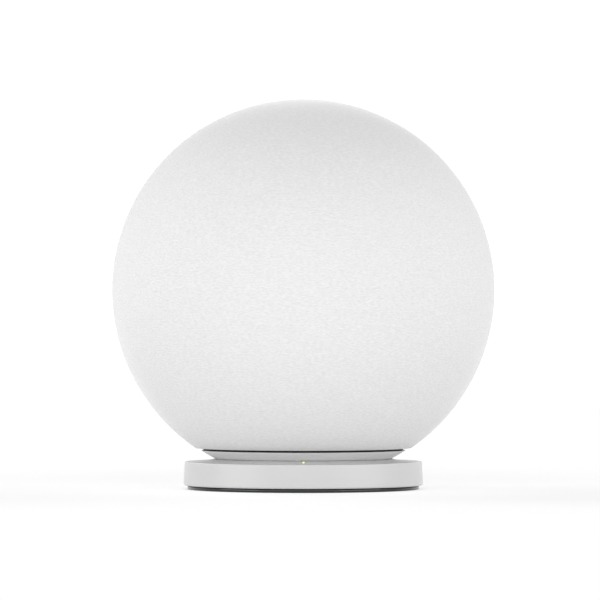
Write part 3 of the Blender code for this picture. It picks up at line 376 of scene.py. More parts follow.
def knit():
    """Off-white knit: rows of flat stitches round the orb, uneven like slub yarn, with a soft nap and painted
    shade in its hollows.
    """
    made = Shading(
        "knit",
        (0.61, 0.61, 0.61),
        0.85,
        Sheen_Weight=0.45,
        Sheen_Roughness=0.3,
        Specular_IOR_Level=0.25,
    )
    wrapped, height = made.wrapped_round_orb()
    wobble = made.maths("MULTIPLY", made.noise(420, 1.0, 0.5, wrapped), 15.0)
    turns = made.maths("MULTIPLY", height, math.tau / KNIT_ROW)
    rows = made.between(made.maths("SINE", made.maths("ADD", turns, wobble)), -1, 1, 0, 1)
    slub = made.noise(1.0, 0.0, 0.5, made.scaled(wrapped, (740, 740, 2600)))
    stitches = made.cells(made.scaled(wrapped, (860, 860, 2300)))
    crowns = made.between(stitches, 0.1, 0.75, 1.0, 0.0)
    fibres = made.noise(3600, 2.0, 0.6)
    lift = made.between(slub, 0.3, 0.7, 0, 1)
    grain = made.mixture((rows, 0.2), (lift, 0.5), (crowns, 0.3))
    # Painted shade: the colour darkens with the grain, in the hollows between stitch crowns and rows, where
    # shade falls.
    made.shade(grain, 0.91, 1.06)
    made.link(made.between(fibres, 0.3, 0.7, 0.8, 0.95), "Roughness")
    made.relief((grain, 0.2 * MM, 0.35), (fibres, 0.04 * MM, 0.2))
    return made.material


def polished(made, roughness):
    """A moulding's gloss, which varies a little with handling, and its barely visible unevenness."""
    wear = made.noise(90, 4.0, 0.6)
    made.link(made.between(wear, 0.3, 0.75, roughness - 0.02, roughness + 0.04), "Roughness")
    made.relief((made.noise(160, 2.0, 0.5), 0.02 * MM, 0.08))
    return made.material


def smooth_plastic(name, colour, roughness):
    """Polished moulding with faint flow marks."""
    made = Shading(name, colour, roughness)
    made.shade(made.noise(35, 3.0, 0.5), 0.985, 1.01)
    return polished(made, roughness)


def cap_plastic():
    """Polished moulding with painted light and shade: lighter at the lip, darker up at the groove, to even
    out the dish's shade.
    """
    roughness = 0.35
    made = Shading("cap_white", (0.83, 0.83, 0.83), roughness)
    # Painted light and shade: 1 at the lip, where the dish shades the cap, down to 0 at the groove.
    depth = made.between(made.height(), LIP_TOP, HEM_Z, 1.0, 0.0)
    made.shade(made.mixture((depth, 0.97), (made.noise(35, 3.0, 0.5), 0.03)), 0.76, 1.04)
    return polished(made, roughness)


def moulded_plastic(name, colour, roughness=0.5):
    """Hidden structural plastic: a coarser texture and faint flow marks."""
    made = Shading(name, colour, roughness)
    flow = made.noise(60, 4.0, 0.6, distortion=0.6)
    made.shade(flow, 0.9, 1.1)
    made.link(made.between(made.noise(300), 0.3, 0.7, roughness - 0.08, roughness + 0.08), "Roughness")
    made.relief((made.noise(5000), 0.03 * MM, 0.4))
    return made.material


def elastomer(name, colour, gloss, dust, grain, **sockets):
    """Rubber or silicone with a dusty bloom. gloss is the roughness where it is clean and where dusty,
    dust is the bloom's scale, its threshold and the colour's two factors, and grain is the fine
    bump's depth and strength."""
    clean, dusty = gloss
    scale, threshold, dark, light = dust
    made = Shading(name, colour, (clean + dusty) / 2, **sockets)
    bloom = made.noise(scale, 5.0, 0.65)
    made.shade(made.between(bloom, threshold, 0.75, 0.0, 1.0), dark, light)
    made.link(made.between(bloom, 0.3, 0.7, clean, dusty), "Roughness")
    made.relief((made.noise(6500), *grain))
    return made.material


def rubber():
    return elastomer(
        "black_rubber",
        (0.022, 0.021, 0.023),
        (0.66, 0.82),
        (220, 0.45, 0.9, 1.9),
        (0.03 * MM, 0.5),
        Specular_IOR_Level=0.35,
    )


def foot_rubber():
    """Smoother than the rest, so its sides reflect the room."""
    return elastomer(
        "foot_rubber",
        (0.006, 0.006, 0.0065),
        (0.08, 0.16),
        (220, 0.45, 0.9, 1.8),
        (0.01 * MM, 0.3),
        Specular_IOR_Level=0.45,
    )


def silicone():
    return elastomer(
        "grey_silicone",
        (0.36, 0.36, 0.37),
        (0.62, 0.8),
        (240, 0.4, 0.95, 1.15),
        (0.02 * MM, 0.4),
        Sheen_Weight=0.2,
        Specular_IOR_Level=0.35,
    )


def plated(name, colour, roughness, lines=0.0):
    """Plated metal: fine rolling lines, deeper with lines, and a roughness that varies with tarnish."""
    made = Shading(name, colour, roughness, 1.0, Anisotropic=0.3)
    tarnish = made.noise(260, 4.0, 0.6)
    made.shade(tarnish, 0.88, 1.05)
    made.link(made.between(tarnish, 0.3, 0.7, roughness * 0.8, roughness * 1.3), "Roughness")
    fine = made.noise(2400, 3.0, 0.6, made.scaled(made.place, (1.0, 1.0, 6.0)))
    made.relief((fine, 0.01 * MM, 0.25 + lines))
    return made.material


def circuit_board():
    """Green solder mask over copper tracks that run on a routing grid."""
    made = Shading("circuit_board", (0.03, 0.17, 0.085), 0.38, Coat_Weight=0.4, Coat_Roughness=0.2)
    links = {"Vector": made.place, "Scale": 260.0, "Mortar Size": 0.06}
    mask = made.node("ShaderNodeTexBrick", links, offset=0.37, squash=1.6).outputs["Fac"]
    patches = made.between(made.noise(120), 0.48, 0.52, 0.0, 1.0)
    made.shade(made.maths("MULTIPLY", mask, patches), 1.0, 1.8)
    made.relief((mask, 0.03 * MM, 0.5), (made.noise(4000), 0.01 * MM, 0.3))
    return made.material


def copper_winding():
    made = Shading("copper_winding", (0.72, 0.33, 0.17), 0.32, 1.0)
    turns = made.bands(620, "Z")
    made.shade(turns, 0.6, 1.1)
    made.relief((turns, 0.06 * MM, 0.8))
    return made.material


def cone_paper():
    """Black pulp paper with pressed-in fibres under a thin coating."""
    made = Shading("cone_paper", (0.045, 0.045, 0.05), 0.7, Sheen_Weight=0.15)
    pulp = made.noise(900, 5.0, 0.7, distortion=1.2)
    made.shade(pulp, 0.7, 1.6)
    made.link(made.between(pulp, 0.3, 0.7, 0.6, 0.85), "Roughness")
    made.relief((pulp, 0.08 * MM, 0.5))
    return made.material


def spider_cloth():
    """Resin-stiffened woven cloth."""
    made = Shading("spider_cloth", (0.55, 0.38, 0.16), 0.8, Sheen_Weight=0.2)
    weave = made.maths("MULTIPLY", made.bands(900, "X"), made.bands(900, "Y"))
    made.shade(weave, 0.7, 1.15)
    made.relief((weave, 0.08 * MM, 0.6))
    return made.material


def jacket():
    made = Shading("wire_jacket", (0.45, 0.045, 0.035), 0.42)
    made.shade(made.noise(400), 0.85, 1.1)
    made.relief((made.noise(1800), 0.02 * MM, 0.4))
    return made.material


def ribbon_film():
    """Amber film over parallel copper conductors."""
    made = Shading("ribbon_film", (0.66, 0.42, 0.14), 0.3, Coat_Weight=0.5, Coat_Roughness=0.15)
    strips = made.bands(330, "X")
    made.shade(made.between(strips, 0.35, 0.65, 0.0, 1.0), 0.62, 1.15)
    made.relief((strips, 0.02 * MM, 0.5))
    return made.material


def cell_wrap():
    """Blue shrink film, tight over a steel can, with faint creases."""
    made = Shading("cell_wrap", (0.06, 0.22, 0.5), 0.3, Coat_Weight=0.3, Coat_Roughness=0.2)
    creases = made.noise(130, 4.0, 0.5, made.scaled(made.place, (0.25, 1.0, 1.0)))
    made.shade(creases, 0.85, 1.12)
    made.relief((creases, 0.05 * MM, 0.3))
    return made.material


def lit_lens():
    """A clear light pipe, dimly lit yellow-green from below."""
    made = Shading("lit_lens", (0.78, 0.9, 0.5), 0.2, Coat_Weight=0.5)
    made.set("Emission Color", (0.62, 0.95, 0.2, 1))
    made.set("Emission Strength", 0.075)
    made.shade(made.noise(1500), 0.95, 1.04)
    made.relief((made.noise(4000), 0.01 * MM, 0.2))
    return made.material


MATERIALS = {
    "knit": knit(),
    "dock_white": smooth_plastic("dock_white", (0.445, 0.445, 0.445), 0.3),
    # A lighter copy of dock_white, painted light for the dock's upward faces.
    "dock_white_painted_light": smooth_plastic("dock_white_painted_light", (0.53, 0.53, 0.53), 0.42),
    "cap_white": cap_plastic(),
    "grey_plastic": moulded_plastic("grey_plastic", (0.5, 0.5, 0.51)),
    "black_plastic": moulded_plastic("black_plastic", (0.028, 0.028, 0.03)),
    "rubber": rubber(),
    "foot_rubber": foot_rubber(),
    "silicone": silicone(),
    "steel": plated("zinc_steel", (0.6, 0.6, 0.61), 0.32, 0.1),
    "gold": plated("gold_plating", (0.83, 0.6, 0.24), 0.22),
    "nickel": plated("nickel_plating", (0.66, 0.655, 0.64), 0.18),
    "aluminium": plated("extruded_aluminium", (0.75, 0.75, 0.76), 0.36, 0.2),
    "board": circuit_board(),
    "copper": copper_winding(),
    "paper": cone_paper(),
    "spider": spider_cloth(),
    "jacket": jacket(),
    "film": ribbon_film(),
    "cell": cell_wrap(),
    "lens": lit_lens(),
}


def dress(obj, material, slot, body, *nodes):
    """Gives a new piece its material and body, and hides the CAD nodes it stands for. slot is not used."""
    obj.data.materials.clear()
    obj.data.materials.append(MATERIALS[material])
    if nodes:
        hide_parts(*nodes)
    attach(obj, body)
    return obj


# Orb: cover, seam and cap ----------------------------------------------------------
def make_cover():
    """The knit, stretched over the shells and turned in at its hem, with a slight unevenness."""
    steps = 150
    inner_steps = 24
    segments = 400
    roll = COVER_THICKNESS / 2
    core = ORB_RADIUS - roll
    low = math.asin((HEM_Z + roll - ORB_Z) / core)
    outline = []
    for i in range(steps + 1):
        a = math.pi / 2 + (low - math.pi / 2) * i / steps
        outline.append((ORB_RADIUS * math.cos(a), ORB_Z + ORB_RADIUS * math.sin(a)))
    turn_steps = 5
    for i in range(1, turn_steps):
        a = low - math.pi * i / turn_steps
        centre = (core * math.cos(low), ORB_Z + core * math.sin(low))
        outline.append((centre[0] + roll * math.cos(a), centre[1] + roll * math.sin(a)))
    inside = ORB_RADIUS - COVER_THICKNESS
    for i in range(inner_steps + 1):
        a = low + (math.pi / 2 - low) * i / inner_steps
        outline.append((inside * math.cos(a), ORB_Z + inside * math.sin(a)))
    outline = [(0 if abs(r) < 1e-7 else r, z) for r, z in outline]
    cover = lathe("cover", outline, segments, sharp=None)
    centre = Vector((0, 0, ORB_Z))
    for vertex in cover.data.vertices:
        out = vertex.co - centre
        if out.length < ORB_RADIUS - 0.01 * MM:
            continue
        vertex.co += out.normalized() * (COVER_WAVE * noise.noise(out * COVER_WAVES_PER_METRE))
    dress(cover, "knit", "cover_fabric", "orb", "fabric_cover")


def make_seam():
    """The soft black ring at the bottom of the groove between cover and cap: painted shadow where the groove
    is only shade.
    """
    low, high = corners("seam_ring")
    outer = half_width("seam_ring")
    inner = outer - 1.5 * MM
    fillet = 0.3 * MM
    outline = filleted(
        [
            (inner, low.z, fillet),
            (outer - 0.5 * MM, low.z, fillet),
            (outer, low.z + 0.35 * MM, fillet),
            (outer, low.z + 0.8 * MM, fillet),
            (outer - 0.6 * MM, high.z, fillet),
            (inner, high.z, fillet),
        ]
    )
    # Its black is a painted shadow for the groove's shadow gap.
    dress(lathe("seam_shadow_ring", outline), "rubber", "black_rubber", "orb", "seam_ring")


def make_cap():
    """The cap carries on the orb's curve under the seam and ends in a flat with contacts and button."""
    top = HEM_Z - SEAM_GAP
    flat_radius = sphere_ring(CAP_SPHERE, CAP_BOTTOM + 0.3 * MM) - 0.6 * MM
    steps = 16
    outer = []
    for i in range(steps + 1):
        z = CAP_BOTTOM + 0.3 * MM + (top - CAP_BOTTOM - 0.3 * MM) * i / steps
        outer.append((sphere_ring(CAP_SPHERE, z), z))
    outer[-1] = (*outer[-1], 0.18 * MM)
    outer[0] = (*outer[0], 1.5 * MM)
    rebate_radius = half_width("seam_ring") + 0.3 * MM
    rebate_floor = corners("seam_ring")[0].z - 0.3 * MM
    inner_sphere = CAP_SPHERE - CAP_WALL
    inner_floor = CAP_BOTTOM + CAP_WALL
    inner = []
    for i in range(steps + 1):
        z = rebate_floor + (inner_floor - rebate_floor) * i / steps
        inner.append((sphere_ring(inner_sphere, z), z))
    outline = filleted(
        [
            (0, CAP_BOTTOM),
            (flat_radius, CAP_BOTTOM, 1.0 * MM),
            *outer,
            (rebate_radius, top, 0.12 * MM),
            (rebate_radius, rebate_floor),
            *inner,
            (0, inner_floor),
        ],
        4,
    )
    cap = lathe("cap", outline)
    root, end = inner_floor - 0.5 * MM, corners("battery_tray")[0].z - 0.3 * MM
    columns = [post("column", 3.1 * MM, root, end, middle(name)) for name in ORB_SCREWS]
    boolean(cap, columns, "UNION")
    cutters = []
    mouth = 0.18 * MM
    for side in ("left", "right"):
        at = middle(f"contact_pad_{side}")
        radius = half_width(f"contact_pad_{side}") + 0.2 * MM
        cutters.append(drill(radius, CAP_BOTTOM, CAP_BOTTOM + 1.4 * MM, mouth, (at.x, at.y), False))
        cutters.append(drill(1.2 * MM, CAP_BOTTOM + 1 * MM, CAP_BOTTOM + 4 * MM, 0, (at.x, at.y), False))
    at = middle("power_button")
    cutters.append(drill(3.75 * MM, CAP_BOTTOM, CAP_BOTTOM + 3 * MM, mouth, (at.x, at.y), False))
    for name in ORB_SCREWS:
        at = middle(name)
        cutters.append(drill(2.35 * MM, CAP_BOTTOM, CAP_BOTTOM + 2.2 * MM, mouth, (at.x, at.y), False))
        cutters.append(drill(1.35 * MM, CAP_BOTTOM + 2 * MM, CAP_BOTTOM + 14 * MM, 0, (at.x, at.y), False))
    boolean(cap, cutters)
    dress(even_shading(cap), "cap_white", "cap_plastic", "orb", "bottom_cap")


# Dock ---------------------------------------------------------------------------------
def make_dock():
    """The puck: a wall, a flare up to the lip, and the dish. Flare and rim get painted light against the
    orb's shade.
    """
    top_radius = DOCK_RADIUS - DOCK_TAPER
    steps = 14
    rise = LIP_TOP - DOCK_TOP
    flare = []
    for i in range(steps + 1):
        share = i / steps
        flare.append((FLARE_RADIUS + (LIP_RADIUS - FLARE_RADIUS) * share, DOCK_TOP + rise * share**1.5))
    flare[0] = (*flare[0], 1.5 * MM)
    flare[-1] = (*flare[-1], 0.16 * MM)
    dish_sphere = CAP_SPHERE + DISH_CLEARANCE
    lip_inside = LIP_TOP - 0.1 * MM
    dish = []
    for i in range(steps + 1):
        z = lip_inside + (DISH_FLOOR - lip_inside) * i / steps
        dish.append((sphere_ring(dish_sphere, z), z))
    dish[0] = (*dish[0], 0.12 * MM)
    recess = dish[-1][0]
    dish[-1] = (*dish[-1], 0.15 * MM)
    ledge_top = PAD_LOW - 0.3 * MM
    ledge_low = ledge_top - 1.0 * MM
    ledge_inner, ledge_outer = 22.1 * MM, 29.4 * MM
    ceiling = DOCK_TOP - 1.6 * MM
    outline = filleted(
        [
            (ledge_inner, ledge_low, 0.2 * MM),
            (ledge_outer, ledge_low, 0.3 * MM),
            (ledge_outer, PAD_LOW + 0.4 * MM, 0.3 * MM),
            (LIP_RADIUS, ceiling, 0.8 * MM),
            (top_radius - DOCK_WALL, ceiling, 0.6 * MM),
            (DOCK_RADIUS - DOCK_WALL, DOCK_LOW, 0.15 * MM),
            (DOCK_RADIUS, DOCK_LOW, 0.7 * MM),
            (top_radius, DOCK_TOP, 0.35 * MM),
            *flare,
            *dish,
            (recess, ledge_top, 0.2 * MM),
            (ledge_inner, ledge_top, 0.2 * MM),
        ],
        5,
    )
    dock = lathe("dock_body", outline)
    root, end = PLATE_TOP + 0.3 * MM, ledge_low + 0.5 * MM
    bosses = [post("boss", 2.6 * MM, root, end, middle(name)) for name in DOCK_SCREWS]
    boolean(dock, bosses, "UNION")
    cutters = []
    light_radius = half_width("led_lens") + 0.12 * MM
    cutters.append(drill(light_radius, ceiling - 1 * MM, LIP_TOP + 1 * MM, 0, (LIGHT.x, LIGHT.y)))
    low, high = corners("usb_socket_shell")
    cutters.append(prism("port", stadium(low, high, 0.25 * MM), low.y - 3 * MM, DOCK_RADIUS + 2 * MM))
    for name in DOCK_SCREWS:
        at = middle(name)
        cutters.append(drill(1.25 * MM, PLATE_TOP - 1 * MM, ledge_top - 0.4 * MM, 0, (at.x, at.y)))
    boolean(dock, cutters)
    dress(even_shading(dock), "dock_white", "dock_plastic", "dock", "dock_shell")
    # Painted light: the upward faces above the wall (flare, lip top and dish) get a lighter copy of the
    # dock's white, against the shade that the orb casts on them.
    dock.data.materials.append(MATERIALS["dock_white_painted_light"])
    rim_low = DOCK_TOP - 0.12 * MM
    for face in dock.data.polygons:
        if face.center.z > rim_low and face.normal.z > 0.5:
            face.material_index = 1


def make_dish_pad():
    """Soft silicone: a raised rest near the edge, and a sunk field that the pins stand out of."""
    field_radius = 18.0 * MM
    rib = 0.22 * MM
    half_groove = 0.35 * MM
    grooves = []
    for i in range(3):
        r = PAD_OUTER - 1.6 * MM - i * 2.3 * MM
        grooves += [
            (r, DISH_FLOOR, rib),
            (r - half_groove, DISH_FLOOR - rib, rib),
            (r - 2 * half_groove, DISH_FLOOR, rib),
        ]
    outline = filleted(
        [
            (0, PAD_LOW),
            (PAD_OUTER, PAD_LOW, 0.2 * MM),
            (PAD_OUTER, DISH_FLOOR, 0.35 * MM),
            *grooves,
            (field_radius + 0.6 * MM, DISH_FLOOR, 0.3 * MM),
            (field_radius, PAD_FIELD, 0.4 * MM),
            (0, PAD_FIELD),
        ]
    )
    pad = lathe("dish_mat", outline)
    holes = []
    for at in PINS.values():
        holes.append(drill(1.75 * MM, PAD_LOW - 1 * MM, PAD_FIELD, 0.15 * MM, (at.x, at.y)))
    boolean(pad, holes)
    dress(even_shading(pad), "silicone", "grey_silicone", "dock", "dish_pad")


def stadium(low, high, grow=0.0, steps=16):
    """A round-ended section of (x, z) points that fills the box from low to high, grown all round."""
    radius = (high.z - low.z) / 2 + grow
    flat = (high.x - low.x) / 2 - (high.z - low.z) / 2
    z = (low.z + high.z) / 2
    points = []
    for side in (1, -1):
        for i in range(steps + 1):
            a = math.pi / 2 - math.pi * i / steps
            points.append((side * (flat + radius * math.cos(a)), z + side * radius * math.sin(a)))
    return points


def make_dock_base():
    """The dock's bottom plate, and the grooved foot ring set into it."""
    groove_top = FOOT_TOP + 0.3 * MM
    edge = 0.2 * MM
    outline = filleted(
        [
            (0, DOCK_LOW),
            (GROOVE_INNER, DOCK_LOW, edge),
            (GROOVE_INNER, groove_top),
            (GROOVE_OUTER, groove_top),
            (GROOVE_OUTER, DOCK_LOW, edge),
            (PLATE_RADIUS, DOCK_LOW, edge),
            (PLATE_RADIUS, PLATE_TOP, edge),
            (0, PLATE_TOP),
        ]
    )
    plate = lathe("dock_base", outline)
    cutters = []
    for name in DOCK_SCREWS:
        at = middle(name)
        cutters.append(drill(2.3 * MM, DOCK_LOW, DOCK_LOW + 0.9 * MM, 0.15 * MM, (at.x, at.y), False))
        cutters.append(drill(1.3 * MM, DOCK_LOW + 0.5 * MM, PLATE_TOP + 1 * MM, 0, (at.x, at.y), False))
    boolean(plate, cutters)
    dress(even_shading(plate), "grey_plastic", "grey_plastic", "dock", "dock_bottom_plate")
    inner, outer = GROOVE_INNER + 0.3 * MM, GROOVE_OUTER - 0.3 * MM
    skirt_top = DOCK_LOW - 0.3 * MM
    grooves = []
    for i in range(3):
        r = inner + (FOOT_RADIUS - inner) * (i + 1) / 4
        grooves += [(r - 0.4 * MM, 0), (r, 0.25 * MM, 0.15 * MM), (r + 0.4 * MM, 0)]
    foot = filleted(
        [
            (inner, 0, 0.35 * MM),
            *grooves,
            (FOOT_RADIUS, 0, 0.3 * MM),
            (FOOT_RADIUS, skirt_top, 0.2 * MM),
            (outer, skirt_top, 0.1 * MM),
            (outer, FOOT_TOP, 0.1 * MM),
            (inner, FOOT_TOP, 0.1 * MM),
        ]
    )
    dress(lathe("foot", foot), "foot_rubber", "black_rubber", "dock", "foot_ring")


def make_screw(node, name, body, head_radius, head_height):
    """A pan-head screw, head down, with a cross recess and a rolled thread."""
    low, high = corners(node)
    at = middle(node)
    shank = 0.95 * MM
    pitch = 0.8 * MM
    head_top = low.z + head_height
    head = filleted(
        [
            (0, low.z),
            (head_radius, low.z, head_height * 0.6),
            (head_radius, head_top, 0.05 * MM),
            (0, head_top),
        ]
    )
    head = lathe("head", head, AROUND_SMALL)
    segments, rows = 32, int((high.z - head_top) / (pitch / 8))
    bm = bmesh.new()
    rings = []
    for row in range(rows + 1):
        z = head_top - 0.1 * MM + (high.z - head_top + 0.1 * MM) * row / rows
        taper = min(1.0, (high.z - z) / shank + 0.05)
        ring = []
        for i in range(segments):
            turn = i / segments
            crest = abs(((z / pitch - turn) % 1.0) * 2 - 1)
            r = (shank - 0.28 * MM * (1 - crest)) * taper
            ring.append(bm.verts.new((r * math.cos(math.tau * turn), r * math.sin(math.tau * turn), z)))
        rings.append(ring)
    for lower, upper in zip(rings, rings[1:]):
        for i in range(segments):
            j = (i + 1) % segments
            bm.faces.new((lower[i], lower[j], upper[j], upper[i]))
    bm.faces.new(rings[0])
    bm.faces.new(rings[-1])
    thread = from_bmesh("thread", bm, math.radians(60))
    boolean(head, [thread], "UNION")
    arm, half, depth = head_radius * 0.62, head_radius * 0.14, head_height * 0.6
    for turn in (0, math.pi / 2):
        bar = block("bar", (-arm, -half, low.z - 1 * MM), (arm, half, low.z + depth), turn=turn + math.pi / 4)
        boolean(head, [bar])
    head.data.transform(Matrix.Translation((at.x, at.y, 0)))
    head.name = name
    dress(even_shading(head), "steel", "plated_steel", body, node)


def make_screws():
    for node in DOCK_SCREWS:
        make_screw(node, f"{node}_threaded", "dock", 2.0 * MM, 0.5 * MM)
    for node in ORB_SCREWS:
        make_screw(node, f"{node}_threaded", "orb", 2.0 * MM, 1.1 * MM)


def make_socket():
    """The charging inlet: a drawn steel shell with rolled edges, a tongue and its contacts."""
    low, high = corners("usb_socket_shell")
    wall = 0.3 * MM
    face = high.y
    shell = prism("inlet_shell", stadium(low, high), low.y, face)
    inset = Vector((wall, 0, wall))
    boolean(shell, [prism("mouth", stadium(low + inset, high - inset), low.y + wall, face + 1 * MM)])
    rim = shell.modifiers.new("Rim", "BEVEL")
    rim.width = 0.1 * MM
    rim.segments = 3
    rim.limit_method = "ANGLE"
    rim.angle_limit = math.radians(60)
    bake_modifiers(shell)
    dress(even_shading(shell), "steel", "plated_steel", "dock", "usb_socket_shell")
    t_low, t_high = corners("usb_socket_tongue")
    z = (t_low.z + t_high.z) / 2
    half_blade = 0.33 * MM
    blade = block(
        "inlet_tongue",
        (t_low.x + 0.1 * MM, t_low.y + 1 * MM, z - half_blade),
        (t_high.x - 0.1 * MM, t_high.y, z + half_blade),
        0.12 * MM,
    )
    base = block("base", t_low, (t_high.x, t_low.y + 1.4 * MM, t_high.z), 0.1 * MM)
    boolean(blade, [base], "UNION")
    dress(blade, "black_plastic", "black_plastic", "dock", "usb_socket_tongue")
    strips = []
    count, pitch = 12, 0.5 * MM
    for side in (-1, 1):
        for i in range(count):
            x = (i - (count - 1) / 2) * pitch
            centre = z + side * half_blade
            strips.append(
                block(
                    "strip",
                    (x - 0.13 * MM, t_low.y + 1.5 * MM, centre - 0.03 * MM),
                    (x + 0.13 * MM, t_high.y - 0.5 * MM, centre + 0.03 * MM),
                    0.015 * MM,
                )
            )
    dress(merged("inlet_contacts", strips), "gold", "gold_contact", "dock")


def make_light():
    """The light pipe that ends in a small dome on the flare."""
    low, high = corners("led_lens")
    radius = half_width("led_lens")
    outline = filleted(
        [(0, low.z), (radius, low.z, 0.1 * MM), (radius, high.z - 0.1 * MM, radius * 0.7), (0, high.z)], 8
    )
    lens = lathe("status_light", outline, AROUND_SMALL, at=(LIGHT.x, LIGHT.y, 0))
    dress(lens, "lens", "led_lens", "dock", "led_lens")


def make_pins():
    """Each sprung contact's barrel and plunger in the dock, and the pad over it in the orb."""
    for side, at in PINS.items():
        low, high = corners(f"pin_barrel_{side}")
        radius = 1.5 * MM
        bore, mouth = 1.15 * MM, 0.98 * MM
        barrel = filleted(
            [
                (0, low.z),
                (radius, low.z, 0.1 * MM),
                (radius, high.z, 0.15 * MM),
                (mouth, high.z, 0.12 * MM),
                (mouth, high.z - 0.5 * MM),
                (bore, high.z - 0.5 * MM),
                (bore, low.z + 0.4 * MM),
                (0, low.z + 0.4 * MM),
            ]
        )
        made = lathe(f"contact_barrel_{side}", barrel, AROUND_SMALL, at=(at.x, at.y, 0))
        dress(made, "gold", "gold_contact", "dock", f"pin_barrel_{side}")
        low, high = corners(f"pin_plunger_{side}")
        stem, head = 0.7 * MM, 0.95 * MM
        plunger = filleted(
            [
                (0, low.z),
                (head, low.z, 0.1 * MM),
                (head, low.z + 0.8 * MM, 0.1 * MM),
                (stem, low.z + 0.8 * MM, 0.05 * MM),
                (stem, high.z - 0.02 * MM, 0.55 * MM),
                (0, high.z),
            ],
            8,
        )
        made = lathe(f"contact_plunger_{side}", plunger, AROUND_SMALL, at=(at.x, at.y, 0))
        dress(made, "gold", "gold_contact", f"pin_{side}", f"pin_plunger_{side}")
        low, high = corners(f"contact_pad_{side}")
        stem = 0.9 * MM
        radius = half_width(f"contact_pad_{side}")
        pad = filleted(
            [
                (0, low.z + 0.12 * MM),
                (radius * 0.55, low.z + 0.05 * MM, 0.4 * MM),
                (radius * 0.75, low.z, 0.3 * MM),
                (radius, low.z, 0.15 * MM),
                (radius, low.z + 1.1 * MM, 0.08 * MM),
                (stem, low.z + 1.1 * MM),
                (stem, high.z, 0.1 * MM),
                (0, high.z),
            ]
        )
        pad_at = middle(f"contact_pad_{side}")
        made = lathe(f"dock_contact_{side}", pad, AROUND_SMALL, at=(pad_at.x, pad_at.y, 0))
        dress(made, "gold", "gold_contact", "orb", f"contact_pad_{side}")


def make_button():
    """A dished button with a flange behind the cap."""
    low, high = corners("power_button")
    at = middle("power_button")
    radius = 3.5 * MM
    flange = half_width("power_button")
    outline = filleted(
        [
            (0, low.z + 0.25 * MM),
            (radius * 0.62, low.z + 0.15 * MM, 1.0 * MM),
            (radius * 0.8, low.z, 0.5 * MM),
            (radius, low.z, 0.3 * MM),
            (radius, high.z - 0.5 * MM),
            (flange, high.z - 0.5 * MM, 0.1 * MM),
            (flange, high.z, 0.1 * MM),
            (0, high.z),
        ]
    )
    button = lathe("button", outline, 96, at=(at.x, at.y, 0))
    dress(button, "grey_plastic", "grey_plastic", "button", "power_button")


# CAD nodes that stay --------------------------------------------------------------------
KEPT = {
    "black_plastic": [
        "upper_shell",
        "lower_shell",
        "mid_frame",
        "battery_tray",
        "driver_basket",
        "sound_diffuser",
        "button_switch",
    ],
    "grey_plastic": ["enclosure_tub", "enclosure_lid"],
    "board": ["dock_board", "charge_board", "main_board", "microphone_board"],
    "steel": [
        "dock_weight",
        "shield_can",
        "motor_cup",
        "pole_plate",
        "radiator_plate_left",
        "radiator_plate_right",
        "pin_spring_left",
        "pin_spring_right",
    ],
    "nickel": ["dock_magnet", "orb_magnet", "motor_magnet"],
    "aluminium": ["heat_sink"],
    "copper": ["voice_coil"],
    "paper": ["driver_cone", "dust_cap"],
    "rubber": ["driver_surround", "radiator_surround_left", "radiator_surround_right"],
    "spider": ["driver_spider"],
    "cell": ["battery_cell_front", "battery_cell_back"],
    "jacket": ["speaker_lead", "battery_lead"],
    "film": ["microphone_ribbon"],
}


def dress_kept_nodes():
    """Gives the CAD nodes that aren't replaced their materials."""
    for material, nodes in KEPT.items():
        for node in nodes:
            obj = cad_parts[node]
            obj.data.materials.clear()
            obj.data.materials.append(MATERIALS[material])


# Stage --------------------------------------------------------------------------------------
# Softboxes: azimuth in degrees from the front towards +X, a height that the lower edge is
# SOFTBOX_DROP below, width and height in metres, and power in watts.
SOFTBOXES = {
    "brow": (0, 1.5, 2.2, 0.9, 12.5),
    "key_left": (-66, 0.10, 2.0, 0.9, 10.0),
    "key_right": (58, 0.10, 2.0, 0.9, 8.1),
    "rim_left": (-125, 1.6, 1.6, 0.8, 19.7),
    "rim_right": (125, 1.6, 1.6, 0.8, 12.6),
}
SOFTBOX_DISTANCE = 2.4
SOFTBOX_DROP = 0.3
SOFTBOX_TARGET = Vector((0, 0, 0.07))

# How bright the white room is in front of the object, behind it, above the walls and overhead, and
# how much light the floor adds of its own.
FRONT_GLOW = 2.3
BACK_GLOW = 1.06
SHOULDER_GLOW = 1.58
ZENITH_GLOW = 0.08
FLOOR_GLOW = 0.41
FLOOR_HALF_SIZE = 1.6

CAMERA_PLACE = (-0.00125, -2.1, 0.0718)
CAMERA_LENS = 331.7


def make_stage():
    """A plain matt floor."""
    bm = bmesh.new()
    bmesh.ops.create_grid(bm, x_segments=1, y_segments=1, size=FLOOR_HALF_SIZE)
    floor = from_bmesh("floor", bm)
    made = Shading("floor_white", (0.6, 0.6, 0.6), 0.8, Specular_IOR_Level=0.0)
    made.set("Emission Color", (1, 1, 1, 1))
    made.set("Emission Strength", FLOOR_GLOW)
    floor.data.materials.append(made.material)


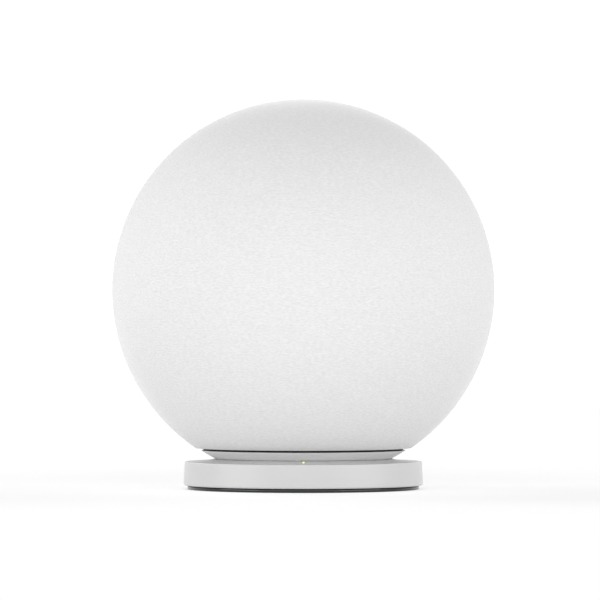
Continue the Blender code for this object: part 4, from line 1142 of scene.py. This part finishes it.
def make_softboxes():
    for name, (azimuth, height, width, tall, power) in SOFTBOXES.items():
        light = bpy.data.lights.new(name, "AREA")
        light.shape = "RECTANGLE"
        light.size = width
        light.size_y = tall
        light.energy = power
        obj = new_object(name, light)
        a = math.radians(azimuth)
        middle_height = height + tall / 2 - SOFTBOX_DROP
        obj.location = (SOFTBOX_DISTANCE * math.sin(a), -SOFTBOX_DISTANCE * math.cos(a), middle_height)
        obj.rotation_euler = (SOFTBOX_TARGET - obj.location).to_track_quat("-Z", "Y").to_euler()


def make_world():
    """A white room, brightest in front of the object and dimmest overhead."""
    world = bpy.data.worlds.new("room")
    bpy.context.scene.world = world
    world.use_nodes = True
    tree = world.node_tree
    background = tree.nodes["Background"]
    background.inputs["Color"].default_value = (1, 1, 1, 1)
    direction = add_node(tree, "ShaderNodeTexCoord", {}).outputs["Generated"]
    split = add_node(tree, "ShaderNodeSeparateXYZ", {0: direction})

    def blend(axis, low, high, to_low, to_high):
        links = {
            "Value": split.outputs[axis],
            "From Min": low,
            "From Max": high,
            "To Min": to_low,
            "To Max": to_high,
        }
        made = add_node(tree, "ShaderNodeMapRange", links, interpolation_type="SMOOTHSTEP")
        return made.outputs["Result"]

    walls = blend("Y", -0.4, 0.2, FRONT_GLOW, BACK_GLOW)
    shoulder = blend("Z", 0.1, 0.4, walls, SHOULDER_GLOW)
    tree.links.new(blend("Z", 0.4, 0.85, shoulder, ZENITH_GLOW), background.inputs["Strength"])


def make_camera():
    camera = bpy.data.cameras.new("camera")
    camera.sensor_width = 36
    camera.lens = CAMERA_LENS
    camera.clip_start = 0.1
    camera.clip_end = 50
    obj = new_object("camera", camera)
    obj.location = CAMERA_PLACE
    obj.rotation_euler = (math.pi / 2, 0, 0)
    bpy.context.scene.camera = obj


make_camera()
make_cover()
make_seam()
make_cap()
make_dock()
make_dish_pad()
make_dock_base()
make_screws()
make_socket()
make_light()
make_pins()
make_button()
dress_kept_nodes()
make_stage()
make_world()
make_softboxes()
bpy.context.scene.view_settings.view_transform = "Standard"
